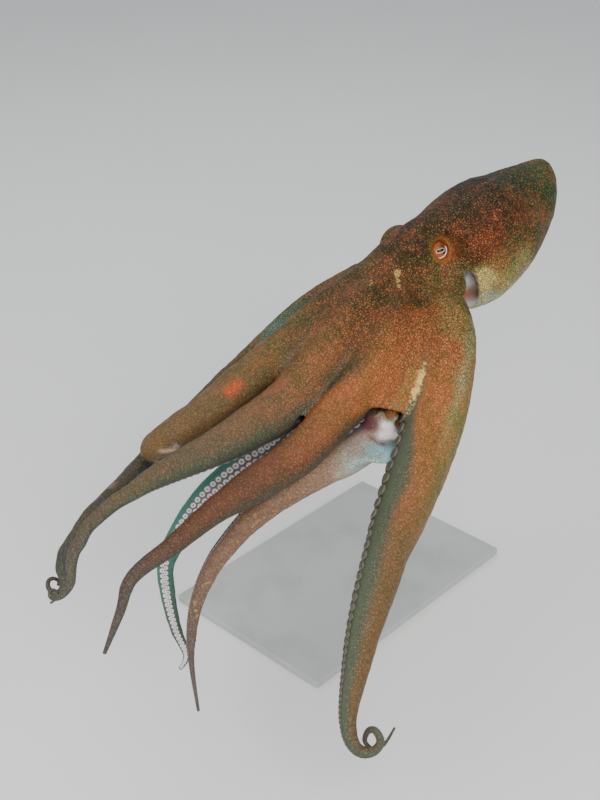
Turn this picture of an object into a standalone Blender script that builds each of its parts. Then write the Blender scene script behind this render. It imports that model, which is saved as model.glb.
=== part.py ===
"""A common octopus swimming mantle first, modelled at life size on a plain display stand.

Units are metres with +Z up. The animal swims toward +X and its left side faces -Y. The origin is
the centre of the underside of the stand's base. Each arm is a tapering tube that follows a route
chosen by hand; the arm roots, the web and the head are fused into one smooth form, which thin flat
cuts then part into named nodes.
"""
import math

import bmesh
import bpy
import numpy as np
from mathutils import Matrix, Vector

MM = 0.001
GAP = 0.3 * MM                       # air left between two solids that meet

# Head: its axes lean up toward the rear, and it rolls a little toward its right side.
EYE_MIDDLE = np.array([101.0, -4.0, 362.0]) * MM
HEAD_PITCH = math.radians(24.0)
HEAD_ROLL = math.radians(12.0)
EYE_OFFSET = 31.0 * MM               # from the middle of the head to the centre of an eyeball
EYE_AHEAD = 5.0 * MM                 # how far the eyeballs sit ahead of the middle of the brows
EYE_RADIUS = 10.5 * MM
EYE_OPENING = 8.8 * MM               # radius of the opening between the lids
EYE_SIDES = (14, 9)                  # segments round and along an eyeball
LIDS_REACH = 30.0 * MM               # length of the cutter that opens the lids
EYE_UPTURN = 0.3                     # how far the eyes look up, as a share of sideways
BROW_OFFSET = 25.0 * MM
BROW_RADIUS = 17.0 * MM
BALL_SIDES = (24, 14)                # segments round and along a ball that is fused in
# Head sections: distance ahead of the eyes, offset to the left, drop, half width, half height (mm).
HEAD_SECTIONS = [
    (-60, 22, 26, 43, 42), (-38, 21, 21, 49, 45), (-20, 18, 19, 48, 44), (-7, 10, 18, 41, 44),
    (4, 2, 18, 35, 44), (18, 1, 20, 38, 48),
]
# Cheek: balls that fill the left side between the eye, the mantle and the arms, x, y, z, radius.
CHEEK_BALLS = [(102, -43, 345, 17), (94, -49, 331, 19), (115, -49, 358, 15), (84, -44, 322, 21)]
# Collar: balls that swell inside the mantle's opening beside the funnel, x, y, z, radius (mm).
COLLAR_BALLS = [(122, -48, 326, 10), (120, -46, 312, 12), (126, -60, 333, 11), (126, -60, 317, 10)]
# Balls that fill the neck between the left eye and the mantle's rim.
NECK_BALLS = [(109, -54, 364, 12), (108, -62, 357, 10), (104, -44, 373, 10)]
# Fold: balls that fill the web's curled margin between the left third and fourth arms.
FOLD_BALLS = [(-58, -84, 253, 9), (-50, -95, 250, 9), (-48, -98, 267, 8), (-54, -82, 263, 8),
              (-33, -98, 256, 8)]
HEAD_CUT = 34.0 * MM                 # plane that parts the head from the crown, ahead of the eyes

# Mantle: sections along its spine as x, y, z, radius across, radius up (mm), collar first.
MANTLE_SECTIONS = [
    (117, -26, 340, 53, 53), (141, -31, 348, 59, 59), (171, -34, 360, 58, 58),
    (193, -37, 369, 53, 53), (212, -39, 377, 45, 45), (230, -41, 388, 37, 37),
    (245, -41, 398, 27, 27), (255, -40, 407, 18, 18), (262, -38, 413, 9, 9),
]
MANTLE_TIP = np.array([265.0, -37.0, 417.0]) * MM
MANTLE_WALL = 7.0 * MM
CAVITY_DEPTH = 36.0 * MM
CAVITY_FLOOR = 34.0 * MM             # radius of the flat end of the cavity
MANTLE_SIDES = 32
MANTLE_CUT = 3.0 * MM                # plane that parts the mantle from the head, ahead of its rim

# Funnel: a tapering open tube under the head, from inside the mantle toward the arms.
FUNNEL_ROOT = np.array([112.0, -36.0, 309.0]) * MM
FUNNEL_MOUTH = np.array([82.0, -40.0, 286.0]) * MM
FUNNEL_ROOT_RADIUS = 15.0 * MM
FUNNEL_MOUTH_RADIUS = 8.0 * MM
FUNNEL_WALL = 2.5 * MM
FUNNEL_SIDES = 16
FUNNEL_RINGS = 4

# Arm routes: x, y, z and full width (mm), from the root beside the mouth to the tip.
ARM_ROUTES = {
    "arm_l1": [
        (38, -12, 342, 36), (-20, -23, 328, 42), (-72, -32, 306, 44), (-121, -35, 284, 44),
        (-165, -32, 276, 39), (-199, -28, 271, 33), (-245, -23, 269, 25), (-276, -21, 268, 19),
        (-294, -21, 266, 15), (-313, -19, 263, 13), (-337, -20, 257, 11.5), (-347, -22, 254, 11),
        (-356, -25, 248, 10.5), (-363, -27, 245, 10), (-369, -30, 239, 9.5), (-374, -35, 234, 8.5),
        (-378, -38, 227, 7.5), (-383, -38, 222, 6.5), (-388, -36, 218, 5), (-392, -32, 217, 4.5),
        (-392, -28, 219, 3.5), (-388, -27, 220, 3), (-385, -29, 216, 3), (-387, -28, 211, 2.5),
        (-391, -25, 207, 2),
    ],
    "arm_l2": [
        (42, -28, 332, 37), (-7, -53, 316, 42), (-64, -71, 294, 41), (-141, -75, 262, 37),
        (-200, -67, 247, 31), (-240, -61, 238, 22), (-286, -57, 224, 16), (-327, -53, 212, 11.5),
        (-352, -64, 194, 7.5), (-376, -71, 171, 3),
    ],
    "arm_l3": [
        (70, -62, 324, 44), (41, -91, 307, 53), (0, -118, 280, 54), (-41, -136, 257, 56),
        (-81, -151, 234, 52), (-114, -162, 215, 47), (-147, -176, 203, 39), (-176, -188, 183, 35),
        (-200, -197, 160, 29), (-219, -206, 140, 24), (-237, -215, 119, 18), (-247, -222, 104, 14),
        (-251, -230, 92, 12), (-249, -239, 85, 10), (-242, -247, 86, 8), (-236, -249, 94, 7),
        (-235, -242, 101, 6), (-236, -235, 96, 5), (-237, -233, 84, 4), (-231, -238, 74, 3.5),
        (-222, -242, 76, 3), (-211, -244, 89, 2),
    ],
    "arm_l4": [
        (58, -18, 314, 38), (23, -47, 282, 43), (-23, -73, 248, 41), (-71, -78, 232, 37),
        (-122, -71, 225, 30), (-158, -64, 218, 27), (-192, -60, 207, 22), (-223, -60, 194, 17.5),
        (-249, -61, 178, 15), (-270, -67, 161, 12), (-286, -76, 142, 9), (-299, -89, 121, 5),
        (-313, -111, 91, 2.5),
    ],
    "arm_r1": [
        (40, 4, 342, 36), (-15, 6, 326, 41), (-66, 9, 307, 43), (-122, 13, 288, 42),
        (-169, 17, 273, 37), (-193, 20, 269, 33), (-209, 24, 264, 30), (-218, 29, 259, 27),
        (-221, 37, 251, 24), (-216, 45, 243, 20), (-206, 48, 241, 17), (-192, 47, 245, 15.5),
        (-175, 46, 249, 14), (-155, 44, 253, 12.5), (-136, 42, 258, 10), (-117, 41, 262, 7),
        (-102, 40, 266, 4),
    ],
    "arm_r2": [
        (46, 18, 334, 36), (-12, 36, 312, 38), (-76, 55, 271, 36), (-139, 65, 237, 33),
        (-184, 64, 224, 27), (-216, 58, 220, 23), (-244, 50, 218, 20), (-263, 45, 218, 18),
        (-282, 42, 215, 16), (-295, 40, 213, 15), (-307, 38, 209, 13), (-316, 36, 204, 12),
        (-325, 34, 200, 11.5), (-331, 34, 196, 10.5), (-336, 32, 191, 9.5), (-340, 29, 185, 9),
        (-341, 26, 179, 8), (-343, 23, 173, 7), (-347, 24, 167, 6), (-351, 29, 166, 5),
        (-352, 34, 169, 4.5), (-349, 37, 173, 4), (-344, 37, 173, 3.5), (-340, 35, 169, 3),
        (-341, 35, 164, 2.5),
    ],
    "arm_r3": [
        (56, 14, 318, 38), (5, 14, 285, 40), (-40, 1, 245, 38), (-89, 2, 211, 35),
        (-130, 13, 197, 33), (-170, 21, 180, 29), (-205, 23, 158, 22), (-230, 19, 137, 16),
        (-243, 4, 114, 13.5), (-253, -17, 90, 10), (-257, -34, 73, 6.5), (-267, -35, 62, 3),
    ],
    "arm_r4": [
        (60, 2, 310, 38), (30, -10, 276, 39), (-5, -32, 238, 37), (-42, -46, 208, 33),
        (-90, -40, 198, 28), (-126, -34, 191, 24), (-161, -29, 180, 20), (-193, -28, 167, 16),
        (-219, -29, 151, 13), (-240, -35, 134, 10), (-256, -44, 115, 6), (-262, -52, 101, 3),
    ],
}
# Arms in order round the mouth, and where each is cut: arc length from the root (mm) to the ends
# of the crown, of the upper length and of the middle length.
ARM_ORDER = ["arm_l1", "arm_l2", "arm_l3", "arm_l4", "arm_r4", "arm_r3", "arm_r2", "arm_r1"]
ARM_CUTS = {
    "arm_l1": (185, 275, 365), "arm_l2": (185, 275, 365), "arm_l3": (205, 300, 395),
    "arm_l4": (232, 305, 385), "arm_r4": (165, 240, 310), "arm_r3": (170, 255, 345),
    "arm_r2": (170, 255, 340), "arm_r1": (180, 240, 312),
}
ROOT_OVERRUN = 8.0 * MM              # an arm root is fused this far past its cut, then trimmed
END_CUTTER = 0.75                    # radius of the trimming cylinder, in arm widths
ARM_SIDES = 8
RING_SPACING = 0.72                  # distance between an arm's rings, in widths
RING_STEP = 5.5 * MM                 # least distance between rings
HALF_WIDTH = 0.52                    # half breadth of an arm, in widths
ABORAL_HEIGHT = 0.52                 # height over the middle line on the outer side, in widths
ORAL_HEIGHT = 0.46                   # and on the sucker side
BUNDLE_AXIS = np.array([[45.0, -15.0, 330.0], [-300.0, -45.0, 190.0]]) * MM
INWARD_PULL = 0.15                   # how fast the sucker side turns to face that axis, per step
FREE_SHARE = 0.62                    # share of an arm's length beyond which it no longer does
ROUTE_STEPS = 16                     # points read from the curve between two points of a route

# Web: how far it reaches down each pair of arms and how deep its edge dips between them (mm).
WEB_REACH = {
    ("arm_l1", "arm_l2"): (150, 150, 20), ("arm_l2", "arm_l3"): (145, 150, 8),
    ("arm_l3", "arm_l4"): (192, 222, 12), ("arm_l4", "arm_r4"): (165, 158, 14),
    ("arm_r4", "arm_r3"): (150, 150, 25), ("arm_r3", "arm_r2"): (150, 150, 30),
    ("arm_r2", "arm_r1"): (155, 155, 20), ("arm_r1", "arm_l1"): (165, 165, 15),
}
WEB_THICKNESS = 6.0 * MM
WEB_START = 30.0 * MM                # arc length at which the web leaves the solid core
CORE_START = 10.0 * MM               # the core of the crown runs between these arc lengths
CORE_REACH = 75.0 * MM
CORE_RINGS = 7
WEB_GRID = (14, 9)                   # points of a web panel along the arms and from arm to arm
# Level of the web on the arms, in aboral heights: on their crests at the head, low at its edge.
WEB_LEVEL = [(0.0, 0.85), (50.0, 0.9), (85.0, 0.6), (120.0, 0.1), (200.0, -0.5)]
# The same between the pairs whose web runs nearly flush with the arms' backs.
FLUSH_LEVEL = [(0.0, 0.85), (50.0, 0.9), (110.0, 0.85), (165.0, 0.55)]
FLUSH_PAIRS = [("arm_l2", "arm_l3"), ("arm_r1", "arm_l1")]

FUSE_VOXEL = 3.5 * MM
FUSED_TRIANGLES = 3950               # mantle, head and crown together, before they are parted
SOFTEN_SHARE = 0.5                   # strength and rounds of the smoothing that rounds the joins
SOFTEN_ROUNDS = 6

BASE_SIZE = (300.0 * MM, 200.0 * MM, 8.0 * MM)
BASE_EDGE = 2.0 * MM
ROD_PLACE = (35.0 * MM, -45.0 * MM)
ROD_RADIUS = 6.0 * MM
ROD_TOP = 278.0 * MM


# ---------------------------------------------------------------- scene, materials and helpers
def clear_scene():
    """Removes what the file held and makes the collections for the parts and the cutters."""
    for old in list(bpy.data.objects):
        bpy.data.objects.remove(old, do_unlink=True)
    groups = []
    for name in ("octopus", "cutters"):
        group = bpy.data.collections.new(name)
        bpy.context.scene.collection.children.link(group)
        groups.append(group)
    return groups


def make_material(name, colour, roughness, metallic=0.0):
    """A Principled material of one colour."""
    material = bpy.data.materials.new(name)
    material.use_nodes = True
    shader = material.node_tree.nodes["Principled BSDF"]
    shader.inputs["Base Color"].default_value = (*colour, 1.0)
    shader.inputs["Roughness"].default_value = roughness
    shader.inputs["Metallic"].default_value = metallic
    return material


def add_object(name, mesh, group, material=None):
    """Puts a mesh in a collection as a named object."""
    thing = bpy.data.objects.new(name, mesh)
    group.objects.link(thing)
    if material is not None:
        mesh.materials.clear()
        mesh.materials.append(material)
    return thing


def as_cutter(thing):
    """Marks an object as a cutter, which the model leaves out."""
    thing.hide_render = True
    thing.display_type = "WIRE"
    return thing


def baked_mesh(thing):
    """The object's mesh with its modifiers applied and its place kept in the mesh."""
    evaluated = thing.evaluated_get(bpy.context.evaluated_depsgraph_get())
    mesh = bpy.data.meshes.new_from_object(evaluated)
    mesh.transform(thing.matrix_world)
    return mesh


def unit(vector):
    """A vector, or each row of an array, scaled to length one."""
    return vector / np.linalg.norm(vector, axis=-1, keepdims=True)


def mesh_from_bmesh(name, form, smooth=True):
    """A mesh datablock with outward faces from a bmesh, which is freed."""
    form.normal_update()
    bmesh.ops.recalc_face_normals(form, faces=form.faces)
    mesh = bpy.data.meshes.new(name)
    form.to_mesh(mesh)
    form.free()
    if smooth:
        mesh.shade_smooth()
        mesh.set_sharp_from_angle(angle=math.radians(50.0))
    return mesh


def loft(name, rings, tip=None):
    """A closed solid through rings of points: a flat cap at the start, a cap or a tip at the end."""
    form = bmesh.new()
    rows = [[form.verts.new(point) for point in ring] for ring in rings]
    count = len(rows[0])
    for low, high in zip(rows, rows[1:]):
        for i in range(count):
            j = (i + 1) % count
            form.faces.new((low[i], low[j], high[j], high[i]))
    form.faces.new(rows[0])
    if tip is None:
        form.faces.new(rows[-1])
    else:
        point = form.verts.new(tip)
        for i in range(count):
            form.faces.new((rows[-1][i], rows[-1][(i + 1) % count], point))
    bmesh.ops.triangulate(form, faces=[face for face in form.faces if len(face.verts) > 4])
    return mesh_from_bmesh(name, form)


# ---------------------------------------------------------------- arms
def curve_points(before, start, end, after, steps):
    """Points of a Catmull-Rom curve from start up to end, which is left out."""
    return [0.5 * (2 * start + (end - before) * t
                   + (2 * before - 5 * start + 4 * end - after) * t ** 2
                   + (3 * start - before - 3 * end + after) * t ** 3)
            for t in np.linspace(0.0, 1.0, steps, endpoint=False)]


def smooth_route(points):
    """A smooth curve through the points, as rows of x, y, z and width in metres."""
    points = np.array(points, dtype=float) * MM
    last = len(points) - 1
    rows = []
    for i in range(last):
        rows += curve_points(points[max(i - 1, 0)], points[i], points[i + 1],
                             points[min(i + 2, last)], ROUTE_STEPS)
    rows.append(points[-1])
    return np.array(rows)


class Arm:
    """One arm's middle line with its arc length, widths and the direction its suckers face."""

    def __init__(self, points):
        curve = smooth_route(points)
        self.place = curve[:, :3]
        self.width = curve[:, 3]
        steps = np.linalg.norm(np.diff(self.place, axis=0), axis=1)
        self.arc = np.concatenate([[0.0], np.cumsum(steps)])
        self.length = self.arc[-1]
        self.tangent = unit(np.gradient(self.place, self.arc, axis=0))
        self.oral = self.oral_directions()

    def oral_directions(self):
        """Turns toward the middle of the bundle, carried on smoothly where the arm coils."""
        start, end = BUNDLE_AXIS
        share = np.clip((self.place[:, 0] - start[0]) / (end[0] - start[0]), -0.2, 1.0)
        inward = start + share[:, None] * (end - start) - self.place
        rows = []
        for i, tangent in enumerate(self.tangent):
            wanted = inward[i] - tangent * inward[i].dot(tangent)
            if rows:
                carried = rows[-1] - tangent * rows[-1].dot(tangent)
                pull = INWARD_PULL if self.arc[i] < FREE_SHARE * self.length else 0.0
                rows.append(unit(unit(carried) * (1.0 - pull) + unit(wanted) * pull))
            else:
                rows.append(unit(wanted))
        return np.array(rows)

    def at(self, arc):
        """Place, width, tangent and oral direction at an arc length."""
        def read(values):
            return np.array([np.interp(arc, self.arc, values[:, k]) for k in range(3)])
        tangent = unit(read(self.tangent))
        oral = read(self.oral)
        oral = unit(oral - tangent * oral.dot(tangent))
        return read(self.place), np.interp(arc, self.arc, self.width), tangent, oral

    def ring(self, arc, sides=ARM_SIDES, shift=0.0):
        """The arm's cross-section at an arc length, a flattened egg, moved along the arm by shift."""
        place, width, tangent, oral = self.at(arc)
        side = np.cross(tangent, oral)
        points = []
        for k in range(sides):
            angle = 2.0 * math.pi * k / sides
            lift = math.cos(angle) * (ORAL_HEIGHT if math.cos(angle) > 0.0 else ABORAL_HEIGHT)
            across = HALF_WIDTH * math.sin(angle)
            points.append(place + tangent * shift + width * (oral * lift + side * across))
        return points

    def stations(self, start, end):
        """Arc lengths between two cuts, closer together where the arm is thin."""
        rows = [start]
        while True:
            step = max(RING_SPACING * np.interp(rows[-1], self.arc, self.width), RING_STEP)
            if rows[-1] + 1.5 * step > end:
                break
            rows.append(rows[-1] + step)
        rows.append(end)
        return rows

    def level_point(self, arc, level):
        """A point over the middle line: level 1 is the outer crest, -1 the sucker side."""
        place, width, _, oral = self.at(arc)
        height = ABORAL_HEIGHT if level > 0.0 else ORAL_HEIGHT
        return place - oral * level * height * width


def arm_length(name, arm, start, end, first_gap):
    """One length of an arm between two cuts; the last one closes in a tip."""
    is_tip = end >= arm.length
    stations = arm.stations(start, min(end, arm.length - 1.5 * MM))
    rings = [arm.ring(stations[0], shift=GAP if first_gap else 0.0)]
    rings += [arm.ring(arc) for arc in stations[1:]]
    return loft(name, rings, arm.place[-1] if is_tip else None)


# ---------------------------------------------------------------- crown, web and head
def web_level(arc, table=WEB_LEVEL):
    """Level of the web on the arms at an arc length."""
    arcs, levels = zip(*table)
    return np.interp(arc / MM, arcs, levels)


def closed_curve(knots, steps=4):
    """Points on a smooth closed curve through the knots."""
    points = []
    count = len(knots)
    for i in range(count):
        points += curve_points(knots[i - 1], knots[i], knots[(i + 1) % count],
                               knots[(i + 2) % count], steps)
    return points


def crown_core(arms):
    """The solid middle of the crown: the head's last section, then rings through the arms' crests."""
    rings = []
    for arc in np.linspace(CORE_START, CORE_REACH, CORE_RINGS):
        knots = [arms[name].level_point(arc, web_level(arc)) for name in ARM_ORDER]
        rings.append(closed_curve(knots))
    forward, left, up = head_axes()
    ahead, aside, drop, half_width, half_height = HEAD_SECTIONS[-1]
    centre = EYE_MIDDLE + (forward * ahead + left * aside - up * drop) * MM
    start = []
    for point in rings[0]:
        angle = math.atan2((point - centre).dot(up) / half_height, (point - centre).dot(left) / half_width)
        start.append(centre + (left * half_width * math.cos(angle)
                               + up * half_height * math.sin(angle)) * MM)
    return loft("crown_core", [start] + rings)


def web_panel(first, second, reach, table):
    """The web between two arms: a sheet from the head to a hollowed edge, on the given levels."""
    reach_first, reach_second, dip = (value * MM for value in reach)
    rows, columns = WEB_GRID
    form = bmesh.new()
    grid = []
    for j in range(columns):
        t = j / (columns - 1)
        end = reach_first + (reach_second - reach_first) * t - dip * math.sin(math.pi * t)
        line = []
        for i in range(rows):
            arc = WEB_START + (end - WEB_START) * i / (rows - 1)
            a = first.level_point(arc, web_level(arc, table))
            b = second.level_point(arc, web_level(arc, table))
            line.append(form.verts.new(a + (b - a) * t))
        grid.append(line)
    for left, right in zip(grid, grid[1:]):
        for i in range(rows - 1):
            form.faces.new((left[i], right[i], right[i + 1], left[i + 1]))
    return mesh_from_bmesh("web_panel", form)


def head_axes():
    """Unit vectors forward to the arms, to the animal's left and up through its back."""
    forward = np.array([-math.cos(HEAD_PITCH), 0.0, -math.sin(HEAD_PITCH)])
    dorsal = np.array([-math.sin(HEAD_PITCH), 0.0, math.cos(HEAD_PITCH)])
    left = np.array([0.0, -1.0, 0.0])
    rolled_left = left * math.cos(HEAD_ROLL) + dorsal * math.sin(HEAD_ROLL)
    rolled_up = dorsal * math.cos(HEAD_ROLL) - left * math.sin(HEAD_ROLL)
    return forward, rolled_left, rolled_up


def ellipse_ring(centre, first, second, count=24):
    """Points on an ellipse given by its two half axes."""
    angles = [2.0 * math.pi * k / count for k in range(count)]
    return [centre + first * math.cos(a) + second * math.sin(a) for a in angles]


def head_core():
    """The head and neck as a loft of ellipses."""
    forward, left, up = head_axes()
    rings = []
    for ahead, aside, drop, half_width, half_height in HEAD_SECTIONS:
        centre = EYE_MIDDLE + (forward * ahead + left * aside - up * drop) * MM
        rings.append(ellipse_ring(centre, left * half_width * MM, up * half_height * MM))
    return loft("head_core", rings)


def ball(name, centre, radius, segments, rings):
    """A sphere as a mesh in its place."""
    form = bmesh.new()
    bmesh.ops.create_uvsphere(form, u_segments=segments, v_segments=rings, radius=radius)
    bmesh.ops.translate(form, verts=form.verts, vec=centre)
    return mesh_from_bmesh(name, form)


def eye_centre(sign):
    """Centre of an eyeball: sign is 1 for the left eye and -1 for the right."""
    forward, left, _ = head_axes()
    return EYE_MIDDLE + left * EYE_OFFSET * sign + forward * EYE_AHEAD


def fused_front(arms, group):
    """Mantle, head, crown, web and arm roots fused into one smooth closed form."""
    _, left, _ = head_axes()
    meshes = [mantle_cup(), head_core(), crown_core(arms)]
    meshes += [ball("brow", EYE_MIDDLE + left * BROW_OFFSET * sign, BROW_RADIUS, *BALL_SIDES)
               for sign in (1, -1)]
    meshes += [ball("filler", np.array([x, y, z]) * MM, radius * MM, *BALL_SIDES)
               for x, y, z, radius in CHEEK_BALLS + COLLAR_BALLS + NECK_BALLS + FOLD_BALLS]
    for name, arm in arms.items():
        cut = ARM_CUTS[name][0] * MM
        meshes.append(arm_length(name, arm, 0.0, cut + ROOT_OVERRUN, False))
    form = bmesh.new()
    for mesh in meshes:
        form.from_mesh(mesh)
    for pair, reach in WEB_REACH.items():
        table = FLUSH_LEVEL if pair in FLUSH_PAIRS else WEB_LEVEL
        panel = web_panel(arms[pair[0]], arms[pair[1]], reach, table)
        sheet = add_object("web_sheet", panel, group)
        thick = sheet.modifiers.new("thickness", "SOLIDIFY")
        thick.thickness = WEB_THICKNESS
        thick.offset = 0.0
        form.from_mesh(baked_mesh(sheet))
        bpy.data.objects.remove(sheet)
    joined = bpy.data.meshes.new("front")
    form.to_mesh(joined)
    form.free()
    rough = add_object("rough", joined, group)
    fuse = rough.modifiers.new("fuse", "REMESH")
    fuse.mode = "VOXEL"
    fuse.voxel_size = FUSE_VOXEL
    front = add_object("front", largest_shell(baked_mesh(rough)), group)
    bpy.data.objects.remove(rough)
    soften = front.modifiers.new("soften", "SMOOTH")
    soften.factor = SOFTEN_SHARE
    soften.iterations = SOFTEN_ROUNDS
    thin_out = front.modifiers.new("thin_out", "DECIMATE")
    thin_out.ratio = FUSED_TRIANGLES / (2 * len(front.data.polygons))
    mesh = baked_mesh(front)
    bpy.data.objects.remove(front)
    return mesh


def largest_shell(mesh):
    """Keeps the mesh's outer skin and drops the closed pockets inside it."""
    form = bmesh.new()
    form.from_mesh(mesh)
    left_over = set(form.verts)
    shells = []
    while left_over:
        shell = {left_over.pop()}
        edge_of = list(shell)
        while edge_of:
            for edge in edge_of.pop().link_edges:
                for vert in edge.verts:
                    if vert in left_over:
                        left_over.discard(vert)
                        shell.add(vert)
                        edge_of.append(vert)
        shells.append(shell)
    shells.sort(key=len)
    for shell in shells[:-1]:
        bmesh.ops.delete(form, geom=list(shell), context="VERTS")
    form.to_mesh(mesh)
    form.free()
    return mesh


def cut_by(thing, cutter):
    """Adds an exact Boolean difference."""
    cut = thing.modifiers.new("cut_" + cutter.name, "BOOLEAN")
    cut.operation = "DIFFERENCE"
    cut.solver = "EXACT"
    cut.object = cutter


def cylinder(name, start, end, radius, sides=24):
    """A closed cylinder between two points."""
    start, end = Vector(start), Vector(end)
    axis = end - start
    form = bmesh.new()
    bmesh.ops.create_cone(form, cap_ends=True, segments=sides, radius1=radius, radius2=radius,
                          depth=axis.length)
    turn = axis.to_track_quat("Z", "Y").to_matrix().to_4x4()
    form.transform(Matrix.Translation((start + end) / 2) @ turn)
    return mesh_from_bmesh(name, form)


def half_space(name, point, normal, size=0.5):
    """A large box whose near face passes through the point, on the side the normal points to."""
    form = bmesh.new()
    bmesh.ops.create_cube(form, size=size)
    turn = Vector(normal).to_track_quat("Z", "Y").to_matrix().to_4x4()
    middle = Vector(point) + Vector(normal) * size / 2
    form.transform(Matrix.Translation(middle) @ turn)
    return mesh_from_bmesh(name, form, smooth=False)


def grown_copy(mesh, name, distance, group):
    """A copy of a mesh pushed outward, to cut a neighbour with."""
    copy = add_object(name, mesh.copy(), group)
    push = copy.modifiers.new("grow", "DISPLACE")
    push.strength = distance
    push.mid_level = 0.0
    return as_cutter(copy)


# ---------------------------------------------------------------- mantle and funnel
def mantle_frames():
    """Centre, spine direction and section axes of each mantle section."""
    centres = np.array([row[:3] for row in MANTLE_SECTIONS]) * MM
    spine = unit(np.gradient(np.vstack([centres, MANTLE_TIP]), axis=0))[:-1]
    _, _, up = head_axes()
    rows = []
    for centre, direction in zip(centres, spine):
        across = unit(np.cross(up, direction))
        rows.append((centre, direction, across, np.cross(direction, across)))
    return rows


def mantle_cup():
    """The mantle as a cup: outer rings from the tip to the rim, then back in along the cavity."""
    frames = mantle_frames()
    outer, inner = [], []
    for (centre, _, across, above), row in zip(frames, MANTLE_SECTIONS):
        wide, high = row[3] * MM, row[4] * MM
        outer.append(ellipse_ring(centre, across * wide, above * high, MANTLE_SIDES))
        wide, high = wide - MANTLE_WALL, high - MANTLE_WALL
        inner.append(ellipse_ring(centre, across * wide, above * high, MANTLE_SIDES))
    centre, direction, across, above = frames[0]
    floor = ellipse_ring(centre + direction * CAVITY_DEPTH, across * CAVITY_FLOOR,
                         above * CAVITY_FLOOR, MANTLE_SIDES)
    return loft("mantle", [floor, inner[1], inner[0]] + outer, MANTLE_TIP)


def funnel_solid():
    """The funnel's tapering wall, open at both ends."""
    axis = unit(FUNNEL_MOUTH - FUNNEL_ROOT)
    side = unit(np.cross(axis, np.array([0.0, 0.0, 1.0])))
    above = np.cross(side, axis)
    outer, inner = [], []
    for share in np.linspace(0.0, 1.0, FUNNEL_RINGS):
        centre = FUNNEL_ROOT + (FUNNEL_MOUTH - FUNNEL_ROOT) * share
        radius = FUNNEL_ROOT_RADIUS + (FUNNEL_MOUTH_RADIUS - FUNNEL_ROOT_RADIUS) * share
        outer.append(ellipse_ring(centre, side * radius, above * radius, FUNNEL_SIDES))
        thin = radius - FUNNEL_WALL
        inner.append(ellipse_ring(centre, side * thin, above * thin, FUNNEL_SIDES))
    form = bmesh.new()
    rows = [[form.verts.new(p) for p in ring] for ring in outer + inner[::-1]]
    for low, high in zip(rows, rows[1:] + rows[:1]):
        for i in range(FUNNEL_SIDES):
            j = (i + 1) % FUNNEL_SIDES
            form.faces.new((low[i], low[j], high[j], high[i]))
    return mesh_from_bmesh("funnel", form)


# ---------------------------------------------------------------- stand
def stand_base():
    """The flat base, a slab with softened edges."""
    form = bmesh.new()
    bmesh.ops.create_cube(form, size=1.0)
    bmesh.ops.scale(form, vec=BASE_SIZE, verts=form.verts)
    bmesh.ops.translate(form, vec=(0.0, 0.0, BASE_SIZE[2] / 2), verts=form.verts)
    return mesh_from_bmesh("stand_base", form, smooth=False)


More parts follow.
